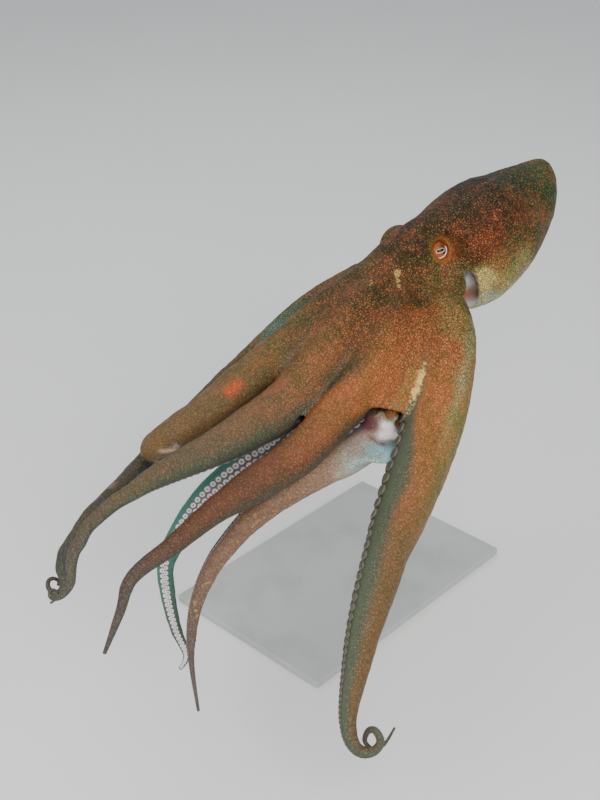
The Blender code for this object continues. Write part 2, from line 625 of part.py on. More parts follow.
def main():
    """Builds every part."""
    parts, cutters = clear_scene()
    skin = make_material("octopus_skin", (0.26, 0.13, 0.07), 0.55)
    eye = make_material("octopus_eye", (0.55, 0.18, 0.04), 0.15)
    pale = make_material("octopus_pale_flesh", (0.62, 0.55, 0.48), 0.5)
    painted = make_material("stand_paint", (0.55, 0.56, 0.56), 0.45)
    steel = make_material("stand_steel", (0.62, 0.62, 0.62), 0.3, 1.0)

    arms = {name: Arm(points) for name, points in ARM_ROUTES.items()}
    for name, arm in arms.items():
        cuts = [value * MM for value in ARM_CUTS[name]] + [arm.length]
        for label, start, end in zip(("upper", "middle", "tip"), cuts, cuts[1:]):
            node = f"{name}_{label}"
            add_object(node, arm_length(node, arm, start, end, True), parts, skin)

    front = fused_front(arms, cutters)
    forward, left, up = head_axes()
    crown_plane = EYE_MIDDLE + forward * HEAD_CUT
    rim, direction, across, above = mantle_frames()[0]
    rim_normal = unit(np.cross(across, above))
    rim_normal = rim_normal * np.sign(rim_normal.dot(direction))
    mantle_plane = rim - rim_normal * MANTLE_CUT

    crown = add_object("crown", front.copy(), parts, skin)
    behind = half_space("behind_crown", crown_plane, -forward)
    cut_by(crown, as_cutter(add_object("behind_crown", behind, cutters)))
    for name, arm in arms.items():
        place, width, tangent, _ = arm.at(ARM_CUTS[name][0] * MM)
        end = cylinder("end_" + name, place, place + tangent * 2 * ROOT_OVERRUN,
                       END_CUTTER * width)
        cut_by(crown, as_cutter(add_object("end_" + name, end, cutters)))
    rod_low = (*ROD_PLACE, ROD_TOP / 2)
    rod_high = (*ROD_PLACE, ROD_TOP + GAP)
    socket = cylinder("rod_socket", rod_low, rod_high, ROD_RADIUS + GAP)
    cut_by(crown, as_cutter(add_object("rod_socket", socket, cutters)))

    head = add_object("head", front.copy(), parts, skin)
    ahead = half_space("ahead_of_head", crown_plane - forward * GAP, forward)
    cut_by(head, as_cutter(add_object("ahead_of_head", ahead, cutters)))
    behind = half_space("behind_head", mantle_plane, rim_normal)
    cut_by(head, as_cutter(add_object("behind_head", behind, cutters)))
    mantle = add_object("mantle", front.copy(), parts, skin)
    ahead = half_space("ahead_of_mantle", mantle_plane + rim_normal * GAP, -rim_normal)
    cut_by(mantle, as_cutter(add_object("ahead_of_mantle", ahead, cutters)))
    for label, sign in (("left", 1), ("right", -1)):
        centre = eye_centre(sign)
        eyeball = ball("eye_" + label, centre, EYE_RADIUS, *EYE_SIDES)
        add_object("eye_" + label, eyeball, parts, eye)
        room = ball("socket_" + label, centre, EYE_RADIUS + 2 * GAP, *EYE_SIDES)
        socket = as_cutter(add_object("socket_" + label, room, cutters))
        cut_by(head, socket)
        cut_by(mantle, socket)
        outward = unit(left * sign + up * EYE_UPTURN)
        lids = cylinder("lids_" + label, centre, centre + outward * LIDS_REACH, EYE_OPENING, 16)
        lids = as_cutter(add_object("lids_" + label, lids, cutters))
        cut_by(head, lids)
        cut_by(mantle, lids)

    grown = grown_copy(front, "grown_front", GAP, cutters)
    funnel = add_object("funnel", funnel_solid(), parts, pale)
    cut_by(funnel, grown)

    base = add_object("stand_base", stand_base(), parts, painted)
    edge = base.modifiers.new("edge", "BEVEL")
    edge.width = BASE_EDGE
    edge.segments = 3
    rod = cylinder("stand_rod", (*ROD_PLACE, BASE_SIZE[2] + GAP), (*ROD_PLACE, ROD_TOP), ROD_RADIUS)
    add_object("stand_rod", rod, parts, steel)


main()
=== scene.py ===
"""A common octopus swimming mantle first, on a plain display stand: skin, suckers, eyes and light.

Units are metres with +Z up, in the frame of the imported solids. The animal swims toward +X and its
left side faces -Y. The fused skin of the mantle, head, web and arm roots is grown from rings that
follow the same named sizes as the solids, the free arms are swept and sewn onto it, and the colours
are laid on its points as attributes, which the procedural skin material then breaks up.
"""

import logging
import math
from dataclasses import dataclass, field
from enum import Enum
from typing import Iterator, Optional, Sequence

import bmesh
import bpy
import numpy as np
from mathutils import Matrix, Vector, noise
from mathutils.bvhtree import BVHTree


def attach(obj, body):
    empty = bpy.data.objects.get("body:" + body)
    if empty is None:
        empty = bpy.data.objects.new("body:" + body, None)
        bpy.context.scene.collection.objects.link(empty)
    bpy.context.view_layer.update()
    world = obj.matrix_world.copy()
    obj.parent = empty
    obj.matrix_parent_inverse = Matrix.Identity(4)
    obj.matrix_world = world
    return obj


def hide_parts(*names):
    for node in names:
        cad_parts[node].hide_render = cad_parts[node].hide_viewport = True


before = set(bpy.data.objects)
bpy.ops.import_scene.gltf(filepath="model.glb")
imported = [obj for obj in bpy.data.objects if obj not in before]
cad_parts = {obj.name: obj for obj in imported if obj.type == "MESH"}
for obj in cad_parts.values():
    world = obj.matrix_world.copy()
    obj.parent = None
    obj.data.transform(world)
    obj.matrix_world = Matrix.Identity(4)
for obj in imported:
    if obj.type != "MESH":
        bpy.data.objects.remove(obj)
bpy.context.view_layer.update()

Array = np.ndarray
Row = tuple[float, ...]
Located = tuple[Array, Array, Array, Array]
Form = bmesh.types.BMesh
Material = bpy.types.Material
Mesh = bpy.types.Mesh
Node = bpy.types.Node
Socket = bpy.types.NodeSocket
Thing = bpy.types.Object
Tree = bpy.types.NodeTree

LOG = logging.getLogger("octopus")
MM = 0.001
UP = np.array([0.0, 0.0, 1.0])


# ---------------------------------------------------------------- small helpers
def unit(vector: Array) -> Array:
    """A vector, or each row of an array, scaled to length one."""
    return vector / np.maximum(np.linalg.norm(vector, axis=-1, keepdims=True), 1e-12)


def dot(first: Array, second: Array) -> Array:
    """The dot product of each pair of rows."""
    return np.sum(first * second, axis=-1)


def smooth_step(low: float, high: float, value: Array) -> Array:
    """A soft ramp from 0 at low to 1 at high, which falls where high lies below low."""
    share = np.clip((value - low) / (high - low), 0.0, 1.0)
    return share * share * (3.0 - 2.0 * share)


def linear(red: float, green: float, blue: float) -> Array:
    """The linear colour of an sRGB colour given from 0 to 255."""
    shares = np.array([red, green, blue]) / 255.0
    return np.where(shares <= 0.04045, shares / 12.92, ((shares + 0.055) / 1.055) ** 2.4)


def rgba(colour: Array) -> Row:
    """A solid colour as a socket takes it."""
    return (float(colour[0]), float(colour[1]), float(colour[2]), 1.0)


def new_object(name: str, mesh: bpy.types.ID, material: Optional[Material] = None) -> Thing:
    """Puts a datablock in the scene as a named object.

    Args:
        name: The object's name.
        mesh: Its mesh, light or camera.
        material: Its only material, if it has one.

    Returns:
        The object, at the origin.
    """
    thing = bpy.data.objects.new(name, mesh)
    bpy.context.scene.collection.objects.link(thing)
    if material is not None:
        mesh.materials.clear()
        mesh.materials.append(material)
    return thing


def evaluated_mesh(thing: Thing) -> Mesh:
    """The object's mesh with its modifiers applied, as a plain mesh."""
    graph = bpy.context.evaluated_depsgraph_get()
    return bpy.data.meshes.new_from_object(thing.evaluated_get(graph))


def finished_mesh(name: str, form: Form) -> Mesh:
    """Turns a form into a mesh and frees the form."""
    mesh = bpy.data.meshes.new(name)
    form.to_mesh(mesh)
    form.free()
    return mesh


def read_rows(items: bpy.types.bpy_prop_collection, name: str) -> Array:
    """A vector of each item of a mesh, such as its points' places, one row each."""
    values = np.empty(len(items) * 3)
    items.foreach_get(name, values)
    return values.reshape(-1, 3)


def write_value(mesh: Mesh, name: str, values: Array) -> None:
    """Stores a number, or a vector from each row, at each point of a mesh."""
    kind, entry = ("FLOAT", "value") if values.ndim == 1 else ("FLOAT_VECTOR", "vector")
    layer = mesh.attributes.new(name, kind, "POINT")
    layer.data.foreach_set(entry, np.ascontiguousarray(values, dtype=np.float32).ravel())


def write_colour(mesh: Mesh, name: str, values: Array) -> None:
    """Stores a colour at each point of a mesh."""
    layer = mesh.color_attributes.new(name, "FLOAT_COLOR", "POINT")
    solid = np.ones((len(values), 4), dtype=np.float32)
    solid[:, :3] = values
    layer.data.foreach_set("color", solid.ravel())


def join_rings(form: Form, rows: Sequence[Sequence[bmesh.types.BMVert]]) -> None:
    """Adds the faces between each ring of points and the next.

    Args:
        form: The form that the rings are in.
        rows: Rings with the same number of points.
    """
    count = len(rows[0])
    for low, high in zip(rows, rows[1:]):
        for i in range(count):
            j = (i + 1) % count
            form.faces.new((low[i], low[j], high[j], high[i]))


def close_tip(form: Form, ring: Sequence[bmesh.types.BMVert], tip: Array) -> None:
    """Closes a ring of points with a fan of faces round a tip."""
    point = form.verts.new(tip)
    for i in range(len(ring)):
        form.faces.new((ring[i], ring[(i + 1) % len(ring)], point))


def add_loft(form: Form, rings: Sequence[Array], tip: Optional[Array] = None) -> None:
    """Adds a closed solid through rings of points: capped at the start, a cap or tip at the end.

    Args:
        form: The form that the solid joins.
        rings: Rings with the same number of points.
        tip: The point that closes the far end; without it the end is a cap.
    """
    rows = [[form.verts.new(point) for point in ring] for ring in rings]
    join_rings(form, rows)
    form.faces.new(rows[0][::-1])
    if tip is None:
        form.faces.new(rows[-1])
    else:
        close_tip(form, rows[-1], tip)


def add_ball(form: Form, centre: Array, radius: float) -> None:
    """Adds a ball to a form."""
    place = Matrix.Translation(Vector(centre))
    bmesh.ops.create_uvsphere(form, u_segments=28, v_segments=18, radius=radius, matrix=place)


def add_thick_sheet(form: Form, grid: Array, thickness: float) -> None:
    """Adds a sheet with a thickness, as a loft through its flattened rows.

    Args:
        form: The form that the sheet joins.
        grid: Points in rows and columns.
        thickness: The sheet's thickness, in metres.
    """
    along = np.gradient(grid, axis=0)
    across = np.gradient(grid, axis=1)
    push = unit(np.cross(along, across)) * thickness / 2.0
    rings = [np.vstack([row + lift, (row - lift)[::-1]]) for row, lift in zip(grid, push)]
    add_loft(form, rings)


def curve_points(before: Array, start: Array, end: Array, after: Array, steps: int) -> list[Array]:
    """Points of a Catmull-Rom curve from start up to end, which is left out."""
    return [0.5 * (2 * start + (end - before) * t
                   + (2 * before - 5 * start + 4 * end - after) * t ** 2
                   + (3 * start - before - 3 * end + after) * t ** 3)
            for t in np.linspace(0.0, 1.0, steps, endpoint=False)]


def ellipse_ring(centre: Array, first: Array, second: Array, count: int = 40) -> Array:
    """Points on an ellipse given by its two half axes."""
    turn = np.linspace(0.0, 2.0 * math.pi, count, endpoint=False)[:, None]
    return centre + first * np.cos(turn) + second * np.sin(turn)


def off_line(points: Array, start: Array, end: Array) -> Array:
    """The way to each point from the nearest place on a straight line."""
    run = end - start
    share = np.clip((points - start) @ run / run.dot(run), 0.0, 1.0)
    return points - start - share[:, None] * run


# ---------------------------------------------------------------- colours
class Tint(Enum):
    """Colours of the living animal, as sRGB values; some also hold painted shade or highlight, as
    noted.
    """

    # The mantle's back: dark olive skin, deepened by painted shade where it faces up and away.
    MANTLE_DARK = (34, 42, 28)
    MANTLE_OLIVE = (58, 64, 38)
    MANTLE_TIP = (76, 86, 46)
    MANTLE_BROWN = (80, 54, 32)
    MANTLE_RED = (108, 56, 30)
    MANTLE_GREEN = (100, 84, 44)
    MANTLE_AMBER = (156, 106, 56)
    MANTLE_STRAW = (160, 150, 88)
    BELLY_CREAM = (222, 198, 126)
    BELLY_BLUE = (180, 208, 176)
    BROW_BROWN = (80, 57, 32)
    LID_GOLD = (158, 94, 40)
    CHEEK_OLIVE = (122, 98, 56)
    CROWN_BROWN = (100, 72, 40)
    CROWN_RUST = (166, 100, 56)
    CROWN_OLIVE = (150, 128, 70)
    CROWN_EDGE = (160, 158, 108)
    STREAK_CREAM = (234, 194, 106)
    ARM_AMBER = (180, 108, 58)
    ARM_RUST = (142, 92, 54)
    ARM_BROWN = (108, 84, 54)
    ARM_DULL = (76, 70, 56)
    ARM_UMBER = (98, 64, 46)
    ARM_DUN = (96, 82, 60)
    ARM_STONE = (80, 86, 68)
    ARM_OLIVE = (100, 88, 46)
    ARM_MOSS = (84, 72, 44)
    ARM_PINK = (226, 186, 156)
    ARM_PEARL = (160, 142, 120)
    ARM_ROSE = (130, 98, 80)
    TIP_GREY = (82, 80, 74)
    ARM_TEAL = (92, 126, 116)
    TEAL_DARK = (58, 80, 74)
    ARM_SEA = (68, 128, 112)
    WEB_BLUE = (172, 226, 230)
    WEB_PINK = (174, 156, 138)
    WEB_STRAW = (190, 196, 170)
    ORAL_MAUVE = (112, 98, 104)
    CUP_WHITE = (240, 236, 232)
    CUP_LILAC = (170, 156, 156)
    ORAL_LILAC = (128, 116, 118)
    CUP_MOSS = (92, 88, 68)
    # Painted shade in the suckers' pits and furrows.
    CUP_PIT = (96, 84, 92)
    FOLD_WHITE = (255, 250, 248)
    FOLD_PURPLE = (112, 70, 70)
    PATCH_RED = (190, 84, 44)
    # Inside the mantle's opening: grey-brown painted shadow, and lilac and brown flesh.
    CAVITY_GREY = (134, 122, 108)
    CAVITY_LILAC = (206, 208, 206)
    CAVITY_BROWN = (134, 88, 60)
    RUST_SPECK = (168, 84, 46)
    # Pale granule tops: their own pale tone and a painted highlight.
    PALE_GRANULE = (206, 184, 128)
    IRIS_DARK = (96, 34, 14)
    IRIS_LIGHT = (186, 84, 30)
    IRIS_FLAKE = (240, 190, 120)
    # Painted lid shadow on the iris.
    IRIS_SHADE = (50, 50, 54)
    IRIS_CREAM = (244, 234, 212)
    SLIT_EDGE = (236, 220, 192)
    SLIT_BLACK = (6, 6, 8)
    # Painted lid shadow round the eyeball's rim.
    EYE_RIM = (84, 46, 22)

    @property
    def rgb(self) -> Array:
        """The linear colour."""
        return linear(*self.value)

    @property
    def rgba(self) -> Row:
        """The linear colour as a socket takes it."""
        return rgba(self.rgb)


@dataclass(frozen=True)
class ArmColours:
    """The tints of an arm, near its root and far from it, and of its suckers.

    rust and flank_rust are how strongly rusty specks cover the crest and the flanks. edge holds the
    two levels, from 1 on the crest to -1 at the suckers, between which the outer tints turn to the
    oral one.
    """

    crest: Tint
    crest_far: Tint
    flank: Tint
    flank_far: Tint
    cup: Tint = Tint.CUP_LILAC
    oral: Tint = Tint.ORAL_MAUVE
    rust: float = 1.0
    flank_rust: float = 0.4
    edge: tuple[float, float] = (-0.35, -0.75)


@dataclass(frozen=True)
class Patch:
    """A soft round patch of one tint: its middle in millimetres, its reach and its strength.

    A patch that only says where and how strongly has no tint. calm is how much of the skin's grain
    the patch smooths away, from 0 to 1.
    """

    middle: tuple[float, float, float]
    reach: float
    tint: Optional[Tint] = None
    strength: float = 1.0
    calm: float = 0.0

    def weight(self, points: Array) -> Array:
        """How strongly the patch colours each point."""
        away = np.linalg.norm(points - np.array(self.middle) * MM, axis=1) / (self.reach * MM)
        return self.strength * np.exp(-away ** 2)


@dataclass(frozen=True)
class Streak:
    """A drawn-out patch of one tint, whose middle is a line between two ends."""

    start: tuple[float, float, float]
    end: tuple[float, float, float]
    reach: float
    tint: Optional[Tint] = None
    strength: float = 1.0
    calm: float = 0.0

    def weight(self, points: Array) -> Array:
        """How strongly the streak colours each point."""
        way = off_line(points, np.array(self.start) * MM, np.array(self.end) * MM)
        away = np.linalg.norm(way, axis=1) / (self.reach * MM)
        return self.strength * np.exp(-away ** 2)


# ---------------------------------------------------------------- node building
class Nodes:
    """A short way to fill one node tree."""

    def __init__(self, tree: Tree) -> None:
        """Starts on an empty or fresh tree; a group's start and end nodes come later."""
        self.tree = tree
        self.start: Optional[Node] = None
        self.end: Optional[Node] = None

    def put(self, value: object, socket: Socket) -> None:
        """Links a socket to an input, or sets the input's own value unless it is None."""
        if isinstance(value, Socket):
            self.tree.links.new(value, socket)
        elif value is not None:
            socket.default_value = value

    def feed(self, node: Node, feeds: dict) -> Node:
        """Feeds several inputs of a node, given by name or number."""
        for key, value in feeds.items():
            self.put(value, node.inputs[key])
        return node

    def add(self, kind: str, feeds: Optional[dict] = None, **settings: object) -> Node:
        """Adds a node, sets its own properties and feeds its inputs."""
        node = self.tree.nodes.new(kind)
        for name, value in settings.items():
            setattr(node, name, value)
        return self.feed(node, feeds or {})

    def math(self, operation: str, *values: object, clamp: bool = False) -> Socket:
        """A Math node's result."""
        return self.add("ShaderNodeMath", dict(enumerate(values)), operation=operation,
                        use_clamp=clamp).outputs[0]

    def times(self, *values: object) -> Socket:
        """The product of values, multiplied one after another."""
        product = values[0]
        for value in values[1:]:
            product = self.math("MULTIPLY", product, value)
        return product

    def mix(self, share: object, first: object, second: object, blend: str = "MIX") -> Socket:
        """A colour between two colours."""
        return self.add("ShaderNodeMix", {"Factor": share, 6: first, 7: second},
                        data_type="RGBA", blend_type=blend, clamp_factor=True).outputs[2]

    def tinged(self, colour: object, factor: object) -> Socket:
        """A colour multiplied by another one, or by a number."""
        return self.mix(1.0, colour, factor, "MULTIPLY")

    def span(self, value: object, low: float, high: float, to_low: float = 0.0,
             to_high: float = 1.0, smooth: bool = False) -> Socket:
        """A value carried from one range to another, held at its ends."""
        kind = "SMOOTHSTEP" if smooth else "LINEAR"
        feeds = {"Value": value, "From Min": low, "From Max": high,
                 "To Min": to_low, "To Max": to_high}
        return self.add("ShaderNodeMapRange", feeds, clamp=True, interpolation_type=kind).outputs[0]

    def noise(self, vector: object, scale: float, detail: float = 2.0, roughness: float = 0.5,
              colour: bool = False) -> Socket:
        """A noise pattern."""
        feeds = {"Vector": vector, "Scale": scale, "Detail": detail, "Roughness": roughness}
        return self.add("ShaderNodeTexNoise", feeds).outputs["Color" if colour else "Fac"]

    def place(self) -> Socket:
        """The place on the piece."""
        return self.add("ShaderNodeTexCoord").outputs["Object"]

    def attribute(self, name: str, output: str = "Fac") -> Socket:
        """An attribute of the piece's points."""
        return self.add("ShaderNodeAttribute", attribute_name=name).outputs[output]

    def group(self, tree: Tree, **inputs: object) -> Node:
        """Places a node group with its own input values."""
        feeds = {name.replace("_", " "): value for name, value in inputs.items()}
        return self.add("ShaderNodeGroup", feeds, node_tree=tree)


def new_group(name: str, size: tuple[str, float], outputs: Sequence[str], **more: float) -> Nodes:
    """Starts a shader node group that takes a place, a size and perhaps other values.

    Args:
        name: The group's name.
        size: Name and default of the size.
        outputs: The names of the values that it gives.
        more: Names and defaults of its other values.

    Returns:
        The group's nodes, with its start and end placed.
    """
    tree = bpy.data.node_groups.new(name, "ShaderNodeTree")
    tree.interface.new_socket("Place", in_out="INPUT", socket_type="NodeSocketVector")
    for label, value in (size, *more.items()):
        socket = tree.interface.new_socket(label, in_out="INPUT", socket_type="NodeSocketFloat")
        socket.default_value = value
    for label in outputs:
        tree.interface.new_socket(label, in_out="OUTPUT", socket_type="NodeSocketFloat")
    nodes = Nodes(tree)
    nodes.start, nodes.end = nodes.add("NodeGroupInput"), nodes.add("NodeGroupOutput")
    return nodes


def granule_group() -> Tree:
    """Skin granules: rounded cells parted by a net of fine furrows.

    Returns:
        A group that takes a place and a cell size, and gives the relief's height, the masks of
        the furrows and of the cells' middles, and a shade that differs from cell to cell.
    """
    nodes = new_group("skin_granules", ("Cell Size", 2.6 * MM),
                      ("Height", "Furrow", "Dot", "Shade"))
    start = nodes.start.outputs
    scale = nodes.math("DIVIDE", 1.0, start["Cell Size"])
    bend = nodes.noise(start["Place"], nodes.times(scale, 0.35), 1.0, colour=True)
    place = start["Place"]
    for operation, feeds in (("SUBTRACT", {0: bend, 1: (0.5, 0.5, 0.5)}),
                             ("SCALE", {"Scale": nodes.times(start["Cell Size"], 1.6)}),
                             ("ADD", {1: start["Place"]})):
        feeds.setdefault(0, place)
        place = nodes.add("ShaderNodeVectorMath", feeds, operation=operation).outputs[0]
    cells, shades = (nodes.add("ShaderNodeTexVoronoi", {"Vector": place, "Scale": scale},
                               feature=feature).outputs for feature in ("DISTANCE_TO_EDGE", "F1"))
    split = nodes.add("ShaderNodeSeparateColor", {0: shades["Color"]}).outputs
    dome = nodes.span(cells["Distance"], 0.0, 0.34, smooth=True)
    nodes.feed(nodes.end, {
        "Height": nodes.times(dome, nodes.span(split[0], 0.0, 1.0, 0.45, 1.0)),
        "Furrow": nodes.span(cells["Distance"], 0.03, 0.17, 1.0, 0.0, smooth=True),
        "Dot": nodes.span(shades["Distance"], 0.46, 0.24, smooth=True),
        "Shade": split[1]})
    return nodes.tree


def mottle_group() -> Tree:
    """Broken specks of pigment over the skin, gathered in clouds.

    Returns:
        A group that takes a place, a patch size and a share, and gives two masks: soft patches
        broken up into specks, and the broad clouds between them.
    """
    nodes = new_group("skin_mottle", ("Patch Size", 20.0 * MM), ("Patches", "Clouds"), Share=0.5)
    start = nodes.start.outputs
    scale = nodes.math("DIVIDE", 1.0, start["Patch Size"])
    broad = nodes.noise(start["Place"], nodes.times(scale, 0.6), 2.0, 0.5)
    specks = nodes.noise(start["Place"], nodes.times(scale, 2.4), 3.0, 0.68)
    both = nodes.math("ADD", nodes.times(broad, 0.5), nodes.times(specks, 0.5))
    edge = nodes.math("SUBTRACT", 0.62, nodes.times(start["Share"], 0.28))
    rise = nodes.math("DIVIDE", nodes.math("SUBTRACT", both, edge), 0.14, clamp=True)
    nodes.feed(nodes.end, {"Patches": rise, "Clouds": nodes.span(broad, 0.52, 0.36, smooth=True)})
    return nodes.tree


def wear_group() -> Tree:
    """Fine handling marks on a hard finish.

    Returns:
        A group that takes a place and a grain size, and gives a mask of faint smudges and a grain.
    """
    nodes = new_group("hard_wear", ("Grain Size", 0.8 * MM), ("Smudge", "Grain"))
    start = nodes.start.outputs
    scale = nodes.math("DIVIDE", 1.0, start["Grain Size"])
    smudge = nodes.noise(start["Place"], nodes.times(scale, 0.018), 3.0, 0.55)
    nodes.feed(nodes.end, {"Grain": nodes.noise(start["Place"], scale, 2.0, 0.6),
                           "Smudge": nodes.span(smudge, 0.45, 0.72, smooth=True)})
    return nodes.tree


@dataclass
class Effects:
    """The shader node groups that several finishes share."""

    granules: Tree = field(default_factory=granule_group)
    mottle: Tree = field(default_factory=mottle_group)
    wear: Tree = field(default_factory=wear_group)


def new_material(name: str) -> tuple[Material, Nodes, Node]:
    """A fresh material with its nodes and its Principled shader."""
    material = bpy.data.materials.new(name)
    material.use_nodes = True
    nodes = Nodes(material.node_tree)
    return material, nodes, material.node_tree.nodes["Principled BSDF"]


def add_bump(nodes: Nodes, height: Socket, distance: float, strength: float,
             under: Optional[Socket] = None) -> Socket:
    """A Bump node's normal, laid over another one if given."""
    feeds = {"Distance": distance, "Strength": strength, "Height": height, "Normal": under}
    return nodes.add("ShaderNodeBump", feeds).outputs["Normal"]


@dataclass(frozen=True)
class SkinFinish:
    """Granular living skin, whose tints come from the points of the piece."""

    granule: float = 2.3 * MM
    wart: float = 8.0 * MM
    patch: float = 13.0 * MM
    rust_share: float = 0.62
    # The dark net and light middles of the granules: their own pattern, with painted shade in the
    # furrows and a painted highlight on each dome.
    furrow_shade: float = 0.85
    dot_tone_and_highlight: float = 0.62
    grit: float = 1.2 * MM
    relief: float = 0.9 * MM
    roughness: tuple[float, float] = (0.40, 0.62)
    gloss_scale: float = 95.0
    specular: float = 0.14
    # The granules' lighter tones, partly painted highlight, and the furrows' darker ones, partly
    # painted shade.
    light: float = 0.26
    brighter: float = 1.7
    furrow_tone_and_shade: Row = (0.20, 0.22, 0.22)
    cloud: Row = (0.60, 0.80, 0.56)

    def build(self, effects: Effects) -> Material:
        """Makes the material.

        Args:
            effects: The shared node groups.

        Returns:
            The skin material.
        """
        material, nodes, shader = new_material("octopus_living_skin")
        place = nodes.place()
        grain = nodes.attribute("grain")
        fine = nodes.group(effects.granules, Place=place, Cell_Size=self.granule).outputs
        coarse = nodes.group(effects.granules, Place=place, Cell_Size=self.wart).outputs
        colour = self.pigment(nodes, effects, place)
        grit = nodes.span(nodes.noise(place, 1.0 / self.grit, 3.0, 0.6), 0.32, 0.68, 0.62, 1.42)
        colour = nodes.mix(grain, colour, nodes.tinged(colour, grit))
        colour = self.bleach(nodes, colour, fine)
        colour = self.granulate(nodes, colour, grain, fine, coarse)
        gloss = nodes.noise(place, self.gloss_scale, 2.0)
        under = add_bump(nodes, nodes.times(coarse["Height"], grain), self.relief * 1.2, 0.5)
        nodes.feed(shader, {
            "Base Color": colour, "Roughness": nodes.span(gloss, 0.3, 0.7, *self.roughness),
            "Normal": add_bump(nodes, nodes.times(fine["Height"], grain), self.relief, 1.0, under),
            "Specular IOR Level": self.specular})
        return material

    def pigment(self, nodes: Nodes, effects: Effects, place: Socket) -> Socket:
        """Lays rusty specks and greenish clouds over the tint.

        Args:
            nodes: The material's nodes.
            effects: The shared node groups.
            place: The place on the piece.

        Returns:
            The colour.
        """
        tint = nodes.attribute("tint", "Color")
        rust = nodes.attribute("rust")
        mottle = nodes.group(effects.mottle, Place=place, Patch_Size=self.patch, Share=0.5).outputs
        specks = nodes.math("MULTIPLY", mottle["Patches"], rust, clamp=True)
        colour = nodes.mix(nodes.times(specks, self.rust_share), tint, Tint.RUST_SPECK.rgba)
        green = nodes.times(mottle["Clouds"], nodes.times(rust, 0.75))
        return nodes.mix(green, colour, nodes.tinged(colour, rgba(self.cloud)))

    def bleach(self, nodes: Nodes, colour: Socket, fine: object) -> Socket:
        """Turns granules cream one by one, the more the paler the place."""
        pale = nodes.attribute("pale")
        share = nodes.math("SUBTRACT", pale, nodes.times(fine["Shade"], 0.5))
        cover = nodes.span(share, 0.02, 0.42, 0.0, 0.92)
        return nodes.mix(cover, colour, Tint.STREAK_CREAM.rgba)

    def granulate(self, nodes: Nodes, colour: Socket, grain: Socket,
                  fine: object, coarse: object) -> Socket:
        """Parts a colour into light granules on a dark net: the skin's own pattern, with painted
        highlights on the granules' domes and painted shade in the furrows.

        Args:
            nodes: The material's nodes.
            colour: The colour of the skin.
            grain: How granular the skin is, from 0 to 1.
            fine: The outputs of the granules' group.
            coarse: The outputs of the warts' group.

        Returns:
            The colour with its granules.
        """
        bright = nodes.tinged(colour, rgba([self.brighter] * 3))
        light = nodes.mix(self.light, bright, Tint.PALE_GRANULE.rgba)
        dark = nodes.tinged(colour, rgba(self.furrow_tone_and_shade))
        chance = nodes.span(fine["Shade"], 0.0, 0.8, 0.4, 1.0)
        # Lightens the granules' middles: their own pale tone and a painted highlight on each dome.
        colour = nodes.mix(nodes.times(fine["Dot"], chance, self.dot_tone_and_highlight, grain), colour, light)
        # Darkens the fine furrows, then those between warts: the skin's own dark net and painted
        # shade.
        colour = nodes.mix(nodes.times(fine["Furrow"], grain, self.furrow_shade), colour, dark)
        return nodes.mix(nodes.times(coarse["Furrow"], grain, 0.3), colour, dark)


@dataclass(frozen=True)
class CupFinish:
    """Smooth pale sucker flesh, with painted shade in the pit, at the stalk's foot and in the fine
    furrows.
    """

    grain: float = 0.9 * MM
    relief: float = 0.12 * MM

    def build(self, effects: Effects) -> Material:
        """Makes the material.

        Args:
            effects: The shared node groups.

        Returns:
            The suckers' material.
        """
        material, nodes, shader = new_material("octopus_sucker_flesh")
        place = nodes.place()
        tint = nodes.attribute("tint", "Color")
        hollow = nodes.attribute("hollow")
        fine = nodes.group(effects.granules, Place=place, Cell_Size=self.grain).outputs
        # Painted shade in the sucker's pit.
        pit = nodes.span(hollow, 0.78, 1.0, smooth=True)
        colour = nodes.mix(nodes.times(pit, 0.85), tint, Tint.CUP_PIT.rgba)
        # Painted shade at the foot of the stalk, where the cup meets the arm: a darker copy of the
        # oral skin.
        stalk = nodes.span(hollow, 0.0, 0.16, 0.55, 0.0)
        colour = nodes.mix(stalk, colour, rgba(Tint.ORAL_MAUVE.rgb * 0.7))
        # Painted shade in the fine furrows of the cup's flesh.
        colour = nodes.mix(nodes.times(fine["Furrow"], 0.22), colour, Tint.CUP_PIT.rgba)
        nodes.feed(shader, {
            "Base Color": colour, "Roughness": nodes.span(fine["Shade"], 0.0, 1.0, 0.32, 0.5),
            "Normal": add_bump(nodes, fine["Height"], self.relief, 0.5)})
        return material


